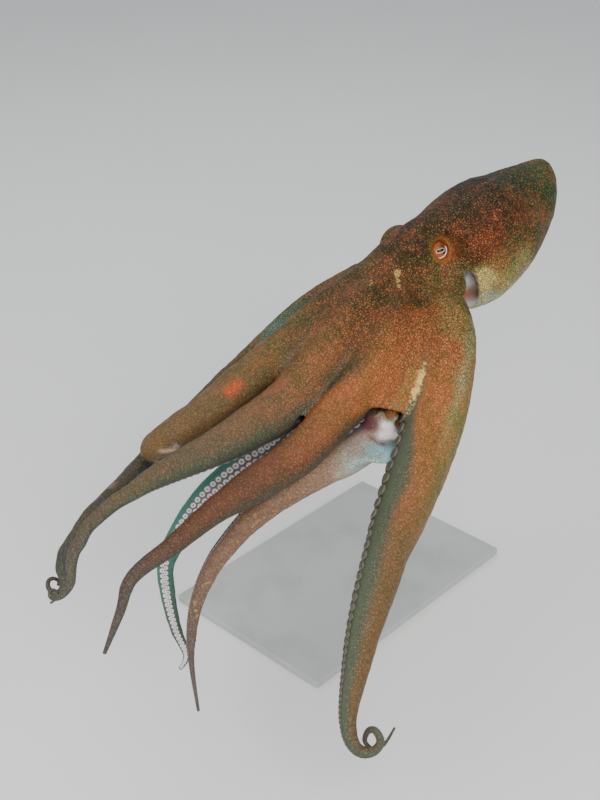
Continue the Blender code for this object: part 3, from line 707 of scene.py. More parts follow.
@dataclass(frozen=True)
class EyeFinish:
    """A glossy eye: a dark level slit in an orange iris, with a white crescent, a dark crescent of
    painted lid shadow, painted shade over the iris's upper side and a painted shadow round its rim.
    """

    gloss: float = 0.26
    slit: tuple[float, float] = (0.38, 0.15)
    slit_shift: float = -0.04
    slit_rise: float = 0.22
    outline: float = 0.055
    streak_scale: float = 900.0
    flake_scale: float = 2200.0
    # Where the dark crescent of painted lid shadow starts, is full, starts to end and ends.
    lid_shadow_edges: tuple[float, ...] = (0.34, 0.42, 0.56, 0.62)
    silver_edges: tuple[float, ...] = (0.62, 0.67, 0.76, 0.82)

    def build(self) -> Material:
        """Makes the eyes' material.

        Returns:
            The eyes' material.
        """
        material, nodes, shader = new_material("octopus_eye_iris")
        place = nodes.place()
        across, above, away = (nodes.attribute(name) for name in ("across", "above", "away"))
        streaks = nodes.noise(place, self.streak_scale, 3.0, 0.6)
        colour = nodes.mix(streaks, Tint.IRIS_DARK.rgba, Tint.IRIS_LIGHT.rgba)
        flakes = nodes.span(nodes.noise(place, self.flake_scale, 2.0), 0.5, 0.66)
        colour = nodes.mix(nodes.times(flakes, 0.35), colour, Tint.IRIS_FLAKE.rgba)

        # Painted shade: the iris darkens toward its upper side and lightens a little toward its
        # lower side.
        iris_shading = nodes.span(nodes.math("ADD", across, above), -0.7, 0.9, 1.15, 0.45)
        colour = nodes.tinged(colour, iris_shading)
        # A dark crescent of painted lid shadow on the iris.
        shade = self.crescent(nodes, (across, above, away), (0.97, 0.22), self.lid_shadow_edges)
        colour = nodes.mix(shade, colour, Tint.IRIS_SHADE.rgba)
        silver = self.crescent(nodes, (across, above, away), (0.86, -0.50), self.silver_edges)
        colour = nodes.mix(silver, colour, Tint.IRIS_CREAM.rgba)

        along = nodes.math("ADD", across, self.slit_shift)
        bent = nodes.math("SUBTRACT", above, nodes.times(across, self.slit_rise))
        wide, tall = self.slit
        border = self.oval(nodes, along, bent, wide + self.outline, tall + self.outline)
        below = nodes.span(bent, 0.12, -0.12, 0.45, 1.0)
        colour = nodes.mix(nodes.times(border, below), colour, Tint.SLIT_EDGE.rgba)
        colour = nodes.mix(self.oval(nodes, along, bent, wide, tall), colour, Tint.SLIT_BLACK.rgba)
        # A painted lid shadow: dark brown round the eyeball's rim.
        rim = nodes.span(away, 1.0, 1.06, smooth=True)
        colour = nodes.mix(rim, colour, Tint.EYE_RIM.rgba)
        nodes.feed(shader, {
            "Base Color": colour, "Specular IOR Level": 0.3, "Coat Weight": 0.06,
            "Roughness": nodes.span(streaks, 0.0, 1.0, self.gloss, self.gloss + 0.08),
            "Coat Roughness": 0.15, "Normal": add_bump(nodes, streaks, 0.05 * MM, 0.2)})
        return material

    def oval(self, nodes: Nodes, along: Socket, over: Socket,
             wide: float, tall: float) -> Socket:
        """The mask of a blunt-ended oval with two half axes."""
        length, height = (
            nodes.math("POWER", nodes.math("ABSOLUTE", nodes.math("DIVIDE", off, half)), 3.0)
            for off, half in ((along, wide), (over, tall)))
        form = nodes.math("POWER", nodes.math("ADD", length, height), 0.333)
        return nodes.span(form, 1.08, 0.94, smooth=True)

    def crescent(self, nodes: Nodes, place: tuple[Socket, ...],
                 toward: tuple[float, float], edges: tuple[float, ...]) -> Socket:
        """The mask of a part of a ring, on the side that lies toward a direction.

        Args:
            nodes: The material's nodes.
            place: How far across, above and away from the eye's middle.
            toward: The direction's share across and above.
            edges: The ring's reach where it starts, is full, starts to end and ends.

        Returns:
            The mask.
        """
        across, above, away = place
        side = nodes.math("ADD", nodes.times(across, toward[0]), nodes.times(above, toward[1]))
        side = nodes.math("DIVIDE", side, nodes.math("MAXIMUM", away, 0.01))
        return nodes.times(nodes.span(away, edges[0], edges[1], smooth=True),
                           nodes.span(away, edges[3], edges[2], smooth=True),
                           nodes.span(side, 0.25, 0.65, smooth=True))


@dataclass(frozen=True)
class PaintFinish:
    """Powder paint on the stand's base: a fine orange peel with faint smudges."""

    colour: tuple[int, int, int] = (178, 180, 178)

    def build(self, effects: Effects) -> Material:
        """Makes the base's material.

        Args:
            effects: The shared node groups.

        Returns:
            The paint.
        """
        material, nodes, shader = new_material("stand_powder_paint")
        place = nodes.place()
        marks = nodes.group(effects.wear, Place=place, Grain_Size=1.1 * MM).outputs
        base = linear(*self.colour)
        colour = nodes.mix(marks["Smudge"], rgba(base), rgba(base * 0.86))
        colour = nodes.mix(nodes.span(marks["Grain"], 0.3, 0.7, 0.0, 0.1), colour, rgba(base * 1.2))
        nodes.feed(shader, {
            "Base Color": colour, "Roughness": nodes.span(marks["Smudge"], 0.0, 1.0, 0.42, 0.55),
            "Normal": add_bump(nodes, marks["Grain"], 0.12 * MM, 0.4)})
        return material


@dataclass(frozen=True)
class SteelFinish:
    """Drawn steel for the stand's rod, with fine lines along it."""

    colour: tuple[int, int, int] = (196, 198, 200)

    def build(self, effects: Effects) -> Material:
        """Makes the rod's material.

        Args:
            effects: The shared node groups.

        Returns:
            The steel.
        """
        material, nodes, shader = new_material("stand_drawn_steel")
        place = nodes.place()
        stretch = nodes.add("ShaderNodeMapping", {"Scale": (1.0, 1.0, 0.02), "Vector": place})
        lines = nodes.noise(stretch.outputs[0], 2600.0, 2.0, 0.6)
        marks = nodes.group(effects.wear, Place=place, Grain_Size=0.9 * MM).outputs
        base = linear(*self.colour)
        colour = nodes.mix(nodes.span(lines, 0.3, 0.7), rgba(base * 0.85), rgba(base))
        colour = nodes.mix(nodes.times(marks["Smudge"], 0.3), colour, rgba(base * 0.7))
        rough = nodes.math("ADD", nodes.span(lines, 0.3, 0.7, 0.24, 0.36),
                           nodes.times(marks["Smudge"], 0.1))
        nodes.feed(shader, {"Base Color": colour, "Roughness": rough, "Metallic": 1.0,
                            "Normal": add_bump(nodes, lines, 0.05 * MM, 0.35)})
        return material


@dataclass(frozen=True)
class FloorFinish:
    """A plain pale floor."""

    colour: tuple[int, int, int] = (236, 236, 232)

    def build(self) -> Material:
        """Makes the floor's material."""
        material, nodes, shader = new_material("studio_floor")
        place = nodes.place()
        clouds = nodes.noise(place, 3.0, 3.0)
        base = linear(*self.colour)
        nodes.feed(shader, {"Base Color": nodes.mix(clouds, rgba(base * 0.97), rgba(base * 1.02)),
                            "Roughness": nodes.span(clouds, 0.3, 0.7, 0.72, 0.82)})
        return material


# ---------------------------------------------------------------- arms
class Section:
    """The flattened egg of an arm's cross-section, in arm widths."""

    HALF_WIDTH = 0.52
    ABORAL_HEIGHT = 0.52
    ORAL_HEIGHT = 0.46

    @classmethod
    def offsets(cls, turn: Array) -> tuple[Array, Array]:
        """Lift toward the suckers and shift sideways at an angle round the arm."""
        height = np.where(np.cos(turn) > 0.0, cls.ORAL_HEIGHT, cls.ABORAL_HEIGHT)
        return np.cos(turn) * height, np.sin(turn) * cls.HALF_WIDTH

    @classmethod
    def turn_of(cls, lift: Array, across: Array) -> tuple[Array, Array]:
        """The angle round the arm of a point, and how far out it lies, 1 at the surface."""
        height = np.where(lift > 0.0, cls.ORAL_HEIGHT, cls.ABORAL_HEIGHT)
        tall, wide = lift / height, across / cls.HALF_WIDTH
        return np.arctan2(wide, tall), np.hypot(tall, wide)


def spot(x: float, y: float, z: float) -> Array:
    """A dataclass field that holds a place given in millimetres."""
    return field(default_factory=lambda: np.array([x, y, z]) * MM)


@dataclass
class Stations:
    """What an arm is like at a list of arc lengths."""

    place: Array
    width: Array
    tangent: Array
    oral: Array

    @property
    def side(self) -> Array:
        """The direction across the arm."""
        return np.cross(self.tangent, self.oral)


@dataclass
class Arm:
    """One arm: a route with widths, the side that its suckers face, and its colours.

    The route's rows are x, y, z and full width in millimetres, from beside the mouth to the tip.
    leaves is the arc length at which the arm is free of the crown. faces is the way that the
    suckers turn to there, from turn_start to turn_end before it. cup_share is a sucker's radius as
    a share of the arm's width, cup_turn how far each row sits round from the middle, and cup_even
    how little the suckers shrink with the arm, from 0 to 1, set against even_width.
    """

    name: str
    leaves: float
    colours: ArmColours
    route: Sequence[Row]
    faces: tuple[float, float, float]
    cup_share: float
    cup_turn: float
    cup_even: float
    turn_start: float = 75.0 * MM
    turn_end: float = 15.0 * MM
    even_width: float = 20.0 * MM
    free_share: float = 0.62
    pull: float = 0.15
    bundle_start: Array = spot(45.0, -15.0, 330.0)
    bundle_end: Array = spot(-300.0, -45.0, 190.0)

    def __post_init__(self) -> None:
        """Works out the smooth middle line and the directions along it."""
        points = np.array(self.route, dtype=float) * MM
        last = len(points) - 1
        rows: list[Array] = []
        for i in range(last):
            rows += curve_points(points[max(i - 1, 0)], points[i], points[i + 1],
                                 points[min(i + 2, last)], 16)
        rows.append(points[-1])
        curve = np.array(rows)
        self.line, self.widths = curve[:, :3], curve[:, 3]
        steps = np.linalg.norm(np.diff(self.line, axis=0), axis=1)
        self.arcs = np.concatenate([[0.0], np.cumsum(steps)])
        self.length = float(self.arcs[-1])
        self.tangents = unit(np.gradient(self.line, self.arcs, axis=0))
        self.orals = self.oral_directions()
        self.sucker_turns = self.turns_to_face()

    def oral_directions(self) -> Array:
        """Turns toward the middle of the bundle, carried on smoothly where the arm coils.

        Returns:
            The direction at each point of the middle line.
        """
        run = self.bundle_end - self.bundle_start
        share = np.clip((self.line[:, 0] - self.bundle_start[0]) / run[0], -0.2, 1.0)
        inward = self.bundle_start + share[:, None] * run - self.line
        rows: list[Array] = []
        for i, tangent in enumerate(self.tangents):
            wanted = inward[i] - tangent * inward[i].dot(tangent)
            if not rows:
                rows.append(unit(wanted))
                continue
            carried = rows[-1] - tangent * rows[-1].dot(tangent)
            pull = self.pull if self.arcs[i] < self.free_share * self.length else 0.0
            rows.append(unit(unit(carried) * (1.0 - pull) + unit(wanted) * pull))
        return np.array(rows)

    def turns_to_face(self) -> Array:
        """How far round the arm the suckers sit, at each point of the middle line."""
        way = np.array(self.faces)
        side = np.cross(self.tangents, self.orals)
        turns = np.unwrap(np.arctan2(side @ way, self.orals @ way))
        turns -= 2.0 * math.pi * round(float(np.median(turns)) / (2.0 * math.pi))
        held = int(np.searchsorted(self.arcs, self.free_share * self.length))
        turns[held:] = turns[held]
        start, end = self.leaves - self.turn_start, self.leaves - self.turn_end
        return turns * smooth_step(start, end, self.arcs)

    def cup_radii(self, widths: Array) -> Array:
        """The suckers' radii where the arm has these widths."""
        return self.cup_share * widths * (self.even_width / widths) ** self.cup_even

    def sucker_turn(self, arcs: Array) -> Array:
        """How far round the arm the suckers sit at a list of arc lengths."""
        return np.interp(arcs, self.arcs, self.sucker_turns)

    def at(self, arcs: Array) -> Stations:
        """Places, widths and directions at a list of arc lengths."""
        def read(values: Array) -> Array:
            """The columns of a table at the arc lengths."""
            return np.stack([np.interp(arcs, self.arcs, values[:, k]) for k in range(3)], axis=1)
        tangent = unit(read(self.tangents))
        oral = read(self.orals)
        oral = unit(oral - tangent * dot(oral, tangent)[:, None])
        return Stations(read(self.line), np.interp(arcs, self.arcs, self.widths), tangent, oral)

    def rings(self, arcs: Array, sides: int) -> Array:
        """Cross-sections at a list of arc lengths, as rings of points."""
        here = self.at(arcs)
        lift, across = Section.offsets(np.linspace(0.0, 2.0 * math.pi, sides, endpoint=False))
        reach = (here.oral[:, None] * lift[None, :, None]
                 + here.side[:, None] * across[None, :, None])
        return here.place[:, None] + here.width[:, None, None] * reach

    def stations(self, start: float, end: float, share: float, least: float) -> Array:
        """Arc lengths between two cuts, closer together where the arm is thin.

        Args:
            start: The first arc length, in metres.
            end: The last arc length, in metres.
            share: Distance between stations, in arm widths.
            least: The least distance between them, in metres.

        Returns:
            The arc lengths.
        """
        rows = [start]
        while True:
            step = max(share * float(np.interp(rows[-1], self.arcs, self.widths)), least)
            if rows[-1] + 1.5 * step > end:
                break
            rows.append(rows[-1] + step)
        return np.array(rows + [end])

    def level_point(self, arc: float, level: float) -> Array:
        """A point over the middle line: level 1 is the outer crest, -1 the sucker side."""
        here = self.at(np.array([arc]))
        height = Section.ABORAL_HEIGHT if level > 0.0 else Section.ORAL_HEIGHT
        return (here.place - here.oral * level * height * here.width[:, None])[0]

    def locate(self, points: Array) -> tuple[Array, Array, Array]:
        """Where points lie along and round the arm.

        Args:
            points: Places, one row each.

        Returns:
            The nearest arc length, the angle round the arm and the distance out, 1 at the surface.
        """
        marks = np.arange(0.0, self.length, 2.0 * MM)
        near = self.at(marks)
        pick = np.empty(len(points), dtype=int)
        batch = 20000
        for low in range(0, len(points), batch):
            part = points[low:low + batch]
            away = (dot(part, part)[:, None] + dot(near.place, near.place)[None, :]
                    - 2.0 * part @ near.place.T)
            pick[low:low + batch] = np.argmin(away / near.width[None, :] ** 2, axis=1)
        arc = marks[pick] + dot(points - near.place[pick], near.tangent[pick])
        arc = np.clip(arc, 0.0, self.length)
        here = self.at(arc)
        off = (points - here.place) / here.width[:, None]
        turn, reach = Section.turn_of(dot(off, here.oral), dot(off, here.side))
        return arc, turn, reach

    def surface(self, arcs: Array, turn: Array) -> Array:
        """Points of the arm's surface at arc lengths and angles round it."""
        here = self.at(arcs)
        lift, across = Section.offsets(turn)
        reach = here.oral * lift[:, None] + here.side * across[:, None]
        return here.place + here.width[:, None] * reach


# Arm routes: x, y, z and full width (mm), from the root beside the mouth to the tip.
ARM_ROUTES: dict[str, list[Row]] = {
    "arm_l1": [
        (38, -12, 342, 36), (-20, -23, 328, 42), (-72, -32, 306, 44), (-121, -35, 284, 44),
        (-165, -32, 276, 39), (-199, -28, 271, 33), (-245, -23, 269, 25), (-276, -21, 268, 19),
        (-294, -21, 266, 15), (-313, -19, 263, 13), (-337, -20, 257, 11.5), (-347, -22, 254, 11),
        (-356, -25, 248, 10.5), (-363, -27, 245, 10), (-369, -30, 239, 9.5), (-374, -35, 234, 8.5),
        (-378, -38, 227, 7.5), (-383, -38, 222, 6.5), (-388, -36, 218, 5), (-392, -32, 217, 4.5),
        (-392, -28, 219, 3.5), (-388, -27, 220, 3), (-385, -29, 216, 3), (-387, -28, 211, 2.5),
        (-391, -25, 207, 2),
    ],
    "arm_l2": [
        (42, -28, 332, 37), (-7, -53, 316, 42), (-64, -71, 294, 41), (-141, -75, 262, 37),
        (-200, -67, 247, 31), (-240, -61, 238, 22), (-286, -57, 224, 16), (-327, -53, 212, 11.5),
        (-352, -64, 194, 7.5), (-376, -71, 171, 3),
    ],
    "arm_l3": [
        (70, -62, 324, 44), (41, -91, 307, 53), (0, -118, 280, 54), (-41, -136, 257, 56),
        (-81, -151, 234, 52), (-114, -162, 215, 47), (-147, -176, 203, 39), (-176, -188, 183, 35),
        (-200, -197, 160, 29), (-219, -206, 140, 24), (-237, -215, 119, 18), (-247, -222, 104, 14),
        (-251, -230, 92, 12), (-249, -239, 85, 10), (-242, -247, 86, 8), (-236, -249, 94, 7),
        (-235, -242, 101, 6), (-236, -235, 96, 5), (-237, -233, 84, 4), (-231, -238, 74, 3.5),
        (-222, -242, 76, 3), (-211, -244, 89, 2),
    ],
    "arm_l4": [
        (58, -18, 314, 38), (23, -47, 282, 43), (-23, -73, 248, 41), (-71, -78, 232, 37),
        (-122, -71, 225, 30), (-158, -64, 218, 27), (-192, -60, 207, 22), (-223, -60, 194, 17.5),
        (-249, -61, 178, 15), (-270, -67, 161, 12), (-286, -76, 142, 9), (-299, -89, 121, 5),
        (-313, -111, 91, 2.5),
    ],
    "arm_r1": [
        (40, 4, 342, 36), (-15, 6, 326, 41), (-66, 9, 307, 43), (-122, 13, 288, 42),
        (-169, 17, 273, 37), (-193, 20, 269, 33), (-209, 24, 264, 30), (-218, 29, 259, 27),
        (-221, 37, 251, 24), (-216, 45, 243, 20), (-206, 48, 241, 17), (-192, 47, 245, 15.5),
        (-175, 46, 249, 14), (-155, 44, 253, 12.5), (-136, 42, 258, 10), (-117, 41, 262, 7),
        (-102, 40, 266, 4),
    ],
    "arm_r2": [
        (46, 18, 334, 36), (-12, 36, 312, 38), (-76, 55, 271, 36), (-139, 65, 237, 33),
        (-184, 64, 224, 27), (-216, 58, 220, 23), (-244, 50, 218, 20), (-263, 45, 218, 18),
        (-282, 42, 215, 16), (-295, 40, 213, 15), (-307, 38, 209, 13), (-316, 36, 204, 12),
        (-325, 34, 200, 11.5), (-331, 34, 196, 10.5), (-336, 32, 191, 9.5), (-340, 29, 185, 9),
        (-341, 26, 179, 8), (-343, 23, 173, 7), (-347, 24, 167, 6), (-351, 29, 166, 5),
        (-352, 34, 169, 4.5), (-349, 37, 173, 4), (-344, 37, 173, 3.5), (-340, 35, 169, 3),
        (-341, 35, 164, 2.5),
    ],
    "arm_r3": [
        (56, 14, 318, 38), (5, 14, 285, 40), (-40, 1, 245, 38), (-89, 2, 211, 35),
        (-130, 13, 197, 33), (-170, 21, 180, 29), (-205, 23, 158, 22), (-230, 19, 137, 16),
        (-243, 4, 114, 13.5), (-253, -17, 90, 10), (-257, -34, 73, 6.5), (-267, -35, 62, 3),
    ],
    "arm_r4": [
        (60, 2, 310, 38), (30, -10, 276, 39), (-5, -32, 238, 37), (-42, -46, 208, 33),
        (-90, -40, 198, 28), (-126, -34, 191, 24), (-161, -29, 180, 20), (-193, -28, 167, 16),
        (-219, -29, 151, 13), (-240, -35, 134, 10), (-256, -44, 115, 6), (-262, -52, 101, 3),
    ],
}
# The arc length (mm) at which each arm leaves the crown, in order round the mouth.
ARM_LEAVES = {
    "arm_l1": 185, "arm_l2": 185, "arm_l3": 205, "arm_l4": 232, "arm_r4": 165, "arm_r3": 170,
    "arm_r2": 170, "arm_r1": 180,
}
ARM_COLOURS = {
    "arm_l1": ArmColours(Tint.ARM_RUST, Tint.ARM_DUN, Tint.ARM_STONE, Tint.ARM_STONE),
    "arm_l2": ArmColours(Tint.ARM_AMBER, Tint.ARM_UMBER, Tint.ARM_MOSS, Tint.ARM_DULL),
    "arm_l3": ArmColours(Tint.CROWN_OLIVE, Tint.ARM_BROWN, Tint.ARM_AMBER, Tint.ARM_BROWN,
                         cup=Tint.CUP_MOSS, oral=Tint.ARM_STONE, rust=1.2, flank_rust=1.2,
                         edge=(0.05, -0.4)),
    "arm_l4": ArmColours(Tint.ARM_PINK, Tint.ARM_ROSE, Tint.ARM_PINK, Tint.ARM_ROSE, rust=0.35,
                         flank_rust=0.35),
    "arm_r4": ArmColours(Tint.ARM_PEARL, Tint.ARM_DULL, Tint.ARM_PEARL, Tint.ARM_DULL, rust=0.4),
    "arm_r3": ArmColours(Tint.ARM_OLIVE, Tint.ARM_DUN, Tint.ARM_SEA, Tint.ARM_SEA,
                         cup=Tint.CUP_WHITE, oral=Tint.ORAL_LILAC, rust=0.1,
                         flank_rust=0.1, edge=(-0.84, -0.97)),
    "arm_r2": ArmColours(Tint.ARM_OLIVE, Tint.ARM_DULL, Tint.ARM_TEAL, Tint.TEAL_DARK, rust=0.5),
    "arm_r1": ArmColours(Tint.ARM_OLIVE, Tint.ARM_BROWN, Tint.ARM_MOSS, Tint.ARM_BROWN),
}
# The way that the suckers face where each arm leaves the crown.
ARM_FACES = {
    "arm_l1": (0.15, 0.1, -1.0), "arm_l2": (0.3, 0.35, -1.0), "arm_l3": (-0.82, 0.58, 0.02),
    "arm_l4": (-0.4, 0.95, -0.2), "arm_r4": (-0.3, 0.6, -0.7), "arm_r3": (-0.66, -0.41, 0.63),
    "arm_r2": (0.2, -0.2, -1.0), "arm_r1": (0.15, 0.35, -1.0),
}
# Each arm's cup_share, cup_turn and cup_even.
USUAL_CUPS = (0.115, math.radians(19.0), 0.0)
ARM_CUPS = {"arm_r3": (0.125, math.radians(12.5), 0.5)}


def build_arms() -> dict[str, Arm]:
    """The eight arms, in order round the mouth."""
    return {name: Arm(name, leaves * MM, ARM_COLOURS[name], ARM_ROUTES[name], ARM_FACES[name],
                      *ARM_CUPS.get(name, USUAL_CUPS)) for name, leaves in ARM_LEAVES.items()}


def each_arm(arms: dict[str, Arm], owner: Array) -> Iterator[tuple[Arm, Array]]:
    """Each arm, with the mask of the points that belong to it."""
    for number, arm in enumerate(arms.values()):
        yield arm, owner == number


# ---------------------------------------------------------------- head, mantle, funnel and crown
@dataclass
class EyeFrame:
    """An eye's centre and its directions: outward, level along the head and up."""

    centre: Array
    outward: Array

    @property
    def level(self) -> Array:
        """The level direction across the eye."""
        return unit(np.cross(UP, self.outward))

    @property
    def rise(self) -> Array:
        """The upward direction in the plane of the iris."""
        return np.cross(self.outward, self.level)

    def split(self, points: Array) -> tuple[Array, Array]:
        """How high points lie over the eye's centre, and how far from its axis."""
        away = points - self.centre
        height = away @ self.outward
        return height, np.linalg.norm(away - height[:, None] * self.outward, axis=1)


@dataclass
class Head:
    """The head and neck: ellipses along a leaning axis, with a brow ball under each eye.

    Each section is distance ahead of the eyes, offset to the left, drop, half width and half
    height, in millimetres.
    """

    eye_middle: Array = spot(101.0, -4.0, 362.0)
    pitch: float = math.radians(24.0)
    roll: float = math.radians(12.0)
    eye_offset: float = 31.0 * MM
    eye_ahead: float = 5.0 * MM
    eye_radius: float = 10.5 * MM
    eye_upturn: float = 0.3
    gaze_left: tuple[float, float] = (0.45, 0.2)
    gaze_right: tuple[float, float] = (0.0, 0.1)
    brow_offset: float = 25.0 * MM
    brow_radius: float = 17.0 * MM
    sections: Sequence[Row] = (
        (-60, 22, 26, 43, 42), (-38, 21, 21, 49, 45), (-20, 18, 19, 48, 44), (-7, 10, 18, 41, 44),
        (4, 2, 18, 35, 44), (18, 1, 20, 38, 48),
    )
    # Balls that fill the left cheek, then the mantle's opening, then the neck behind the eye.
    cheeks: Sequence[Row] = ((102, -43, 345, 17), (94, -49, 331, 19), (115, -49, 358, 15),
                             (84, -44, 322, 21), (122, -48, 326, 10), (120, -46, 312, 12),
                             (126, -60, 333, 11), (126, -60, 317, 10), (109, -54, 364, 12),
                             (108, -62, 357, 10), (104, -44, 373, 10))

    def axes(self) -> tuple[Array, Array, Array]:
        """Unit vectors forward to the arms, to the animal's left and up through its back."""
        forward = np.array([-math.cos(self.pitch), 0.0, -math.sin(self.pitch)])
        dorsal = np.array([-math.sin(self.pitch), 0.0, math.cos(self.pitch)])
        left = np.array([0.0, -1.0, 0.0])
        return (forward, left * math.cos(self.roll) + dorsal * math.sin(self.roll),
                dorsal * math.cos(self.roll) - left * math.sin(self.roll))

    def section_middle(self, section: Row) -> Array:
        """The middle of one section."""
        forward, left, up = self.axes()
        return self.eye_middle + (forward * section[0] + left * section[1] - up * section[2]) * MM

    def section_ring(self, section: Row) -> Array:
        """The ring of points of one section."""
        _, left, up = self.axes()
        wide, high = left * section[3] * MM, up * section[4] * MM
        return ellipse_ring(self.section_middle(section), wide, high)

    def eye(self, sign: int) -> EyeFrame:
        """The frame of an eye: sign is 1 for the left eye and -1 for the right."""
        forward, left, up = self.axes()
        return EyeFrame(self.eye_middle + left * self.eye_offset * sign + forward * self.eye_ahead,
                        unit(left * sign + up * self.eye_upturn))

    def gaze(self, sign: int) -> EyeFrame:
        """The frame of an eyeball, which looks a little forward and up from its lids."""
        forward, _, up = self.axes()
        eye = self.eye(sign)
        ahead, above = self.gaze_left if sign > 0 else self.gaze_right
        return EyeFrame(eye.centre, unit(eye.outward + forward * ahead + up * above))

    def add_to(self, form: Form) -> None:
        """Adds the head's solids to a rough form."""
        _, left, _ = self.axes()
        add_loft(form, [self.section_ring(section) for section in self.sections])
        for sign in (1, -1):
            add_ball(form, self.eye_middle + left * self.brow_offset * sign, self.brow_radius)
        for x, y, z, radius in self.cheeks:
            add_ball(form, np.array([x, y, z]) * MM, radius * MM)


@dataclass
class Mantle:
    """The mantle as a cup: sections along its spine as x, y, z and two radii in millimetres."""

    sections: Sequence[Row] = (
        (117, -26, 340, 53, 53), (141, -31, 348, 59, 59), (171, -34, 360, 58, 58),
        (193, -37, 369, 53, 53), (212, -39, 377, 45, 45), (230, -41, 388, 37, 37),
        (245, -41, 398, 27, 27), (255, -40, 407, 18, 18), (262, -38, 413, 9, 9),
    )
    tip: Array = spot(265.0, -37.0, 417.0)
    wall: float = 7.0 * MM
    cavity_depth: float = 36.0 * MM
    cavity_floor: float = 34.0 * MM
    neck_top: float = 350.0 * MM

    def frames(self, up: Array) -> list[Located]:
        """Centre, spine direction and section axes of each section.

        Args:
            up: The direction up through the back.

        Returns:
            A centre, a direction and two axes for each section.
        """
        centres = np.array([row[:3] for row in self.sections]) * MM
        spine = unit(np.gradient(np.vstack([centres, self.tip]), axis=0))[:-1]
        rows = []
        for centre, direction in zip(centres, spine):
            across = unit(np.cross(up, direction))
            rows.append((centre, direction, across, np.cross(direction, across)))
        return rows

    def add_to(self, form: Form, up: Array) -> None:
        """Adds the cup to a rough form: the cavity, the rim, and the outside to the tip.

        Args:
            form: The form.
            up: The direction up through the back.
        """
        frames = self.frames(up)
        outer, inner = [], []
        for (centre, _, across, above), row in zip(frames, self.sections):
            wide, high = row[3] * MM, row[4] * MM
            outer.append(ellipse_ring(centre, across * wide, above * high))
            wide, high = wide - self.wall, high - self.wall
            inner.append(ellipse_ring(centre, across * wide, above * high))
        outer = self.rounded(outer)
        centre, direction, across, above = frames[0]
        floor = ellipse_ring(centre + direction * self.cavity_depth, across * self.cavity_floor,
                             above * self.cavity_floor)
        add_loft(form, [floor, inner[1], inner[0]] + outer, self.tip)

    def lining(self, points: Array, up: Array) -> Array:
        """Where points lie inside the cup, from 0 to 1.

        Args:
            points: Places on the skin.
            up: The direction up through the back.

        Returns:
            The share of each point.
        """
        centre, direction, across, above = self.frames(up)[0]
        away = points - centre
        along = away @ direction
        radii = [section[3] * MM for section in self.sections[:2]]
        radius = np.interp(along, (0.0, 25.0 * MM), radii)
        inside = smooth_step(-1.5 * MM, -4.0 * MM, np.hypot(away @ across, away @ above) - radius)
        below = smooth_step(self.neck_top + 5.0 * MM, self.neck_top - 5.0 * MM, points[:, 2])
        return inside * below * (along > -6.0 * MM) * (along < self.cavity_depth + 4.0 * MM)

    def rounded(self, rings: list[Array]) -> list[Array]:
        """More rings on smooth curves through the given ones."""
        last = len(rings) - 1
        rows: list[Array] = []
        for i in range(last):
            rows += curve_points(rings[max(i - 1, 0)], rings[i], rings[i + 1],
                                 rings[min(i + 2, last)], 4)
        return rows + [rings[-1]]


@dataclass
class Funnel:
    """The open tube under the head, from inside the mantle toward the arms."""

    root: Array = spot(112.0, -36.0, 309.0)
    mouth: Array = spot(82.0, -40.0, 286.0)
    root_radius: float = 15.0 * MM
    mouth_radius: float = 8.0 * MM
    wall: float = 2.5 * MM
    steps: int = 12
    sides: int = 36

    def add_to(self, form: Form) -> None:
        """Adds the tube's wall, closed over both lips, to a form.

        Args:
            form: The form.
        """
        axis = unit(self.mouth - self.root)
        side = unit(np.cross(axis, UP))
        above = np.cross(side, axis)
        outer, inner = [], []
        for share in np.linspace(0.0, 1.0, self.steps):
            centre = self.root + (self.mouth - self.root) * share
            radius = self.root_radius + (self.mouth_radius - self.root_radius) * share
            lip = self.wall * 0.35 * smooth_step(0.8, 1.0, np.array(share))
            wide, thin = radius - lip, radius - self.wall + lip
            outer.append(ellipse_ring(centre, side * wide, above * wide, self.sides))
            inner.append(ellipse_ring(centre, side * thin, above * thin, self.sides))
        rows = [[form.verts.new(p) for p in ring] for ring in outer + inner[::-1]]
        join_rings(form, rows + rows[:1])


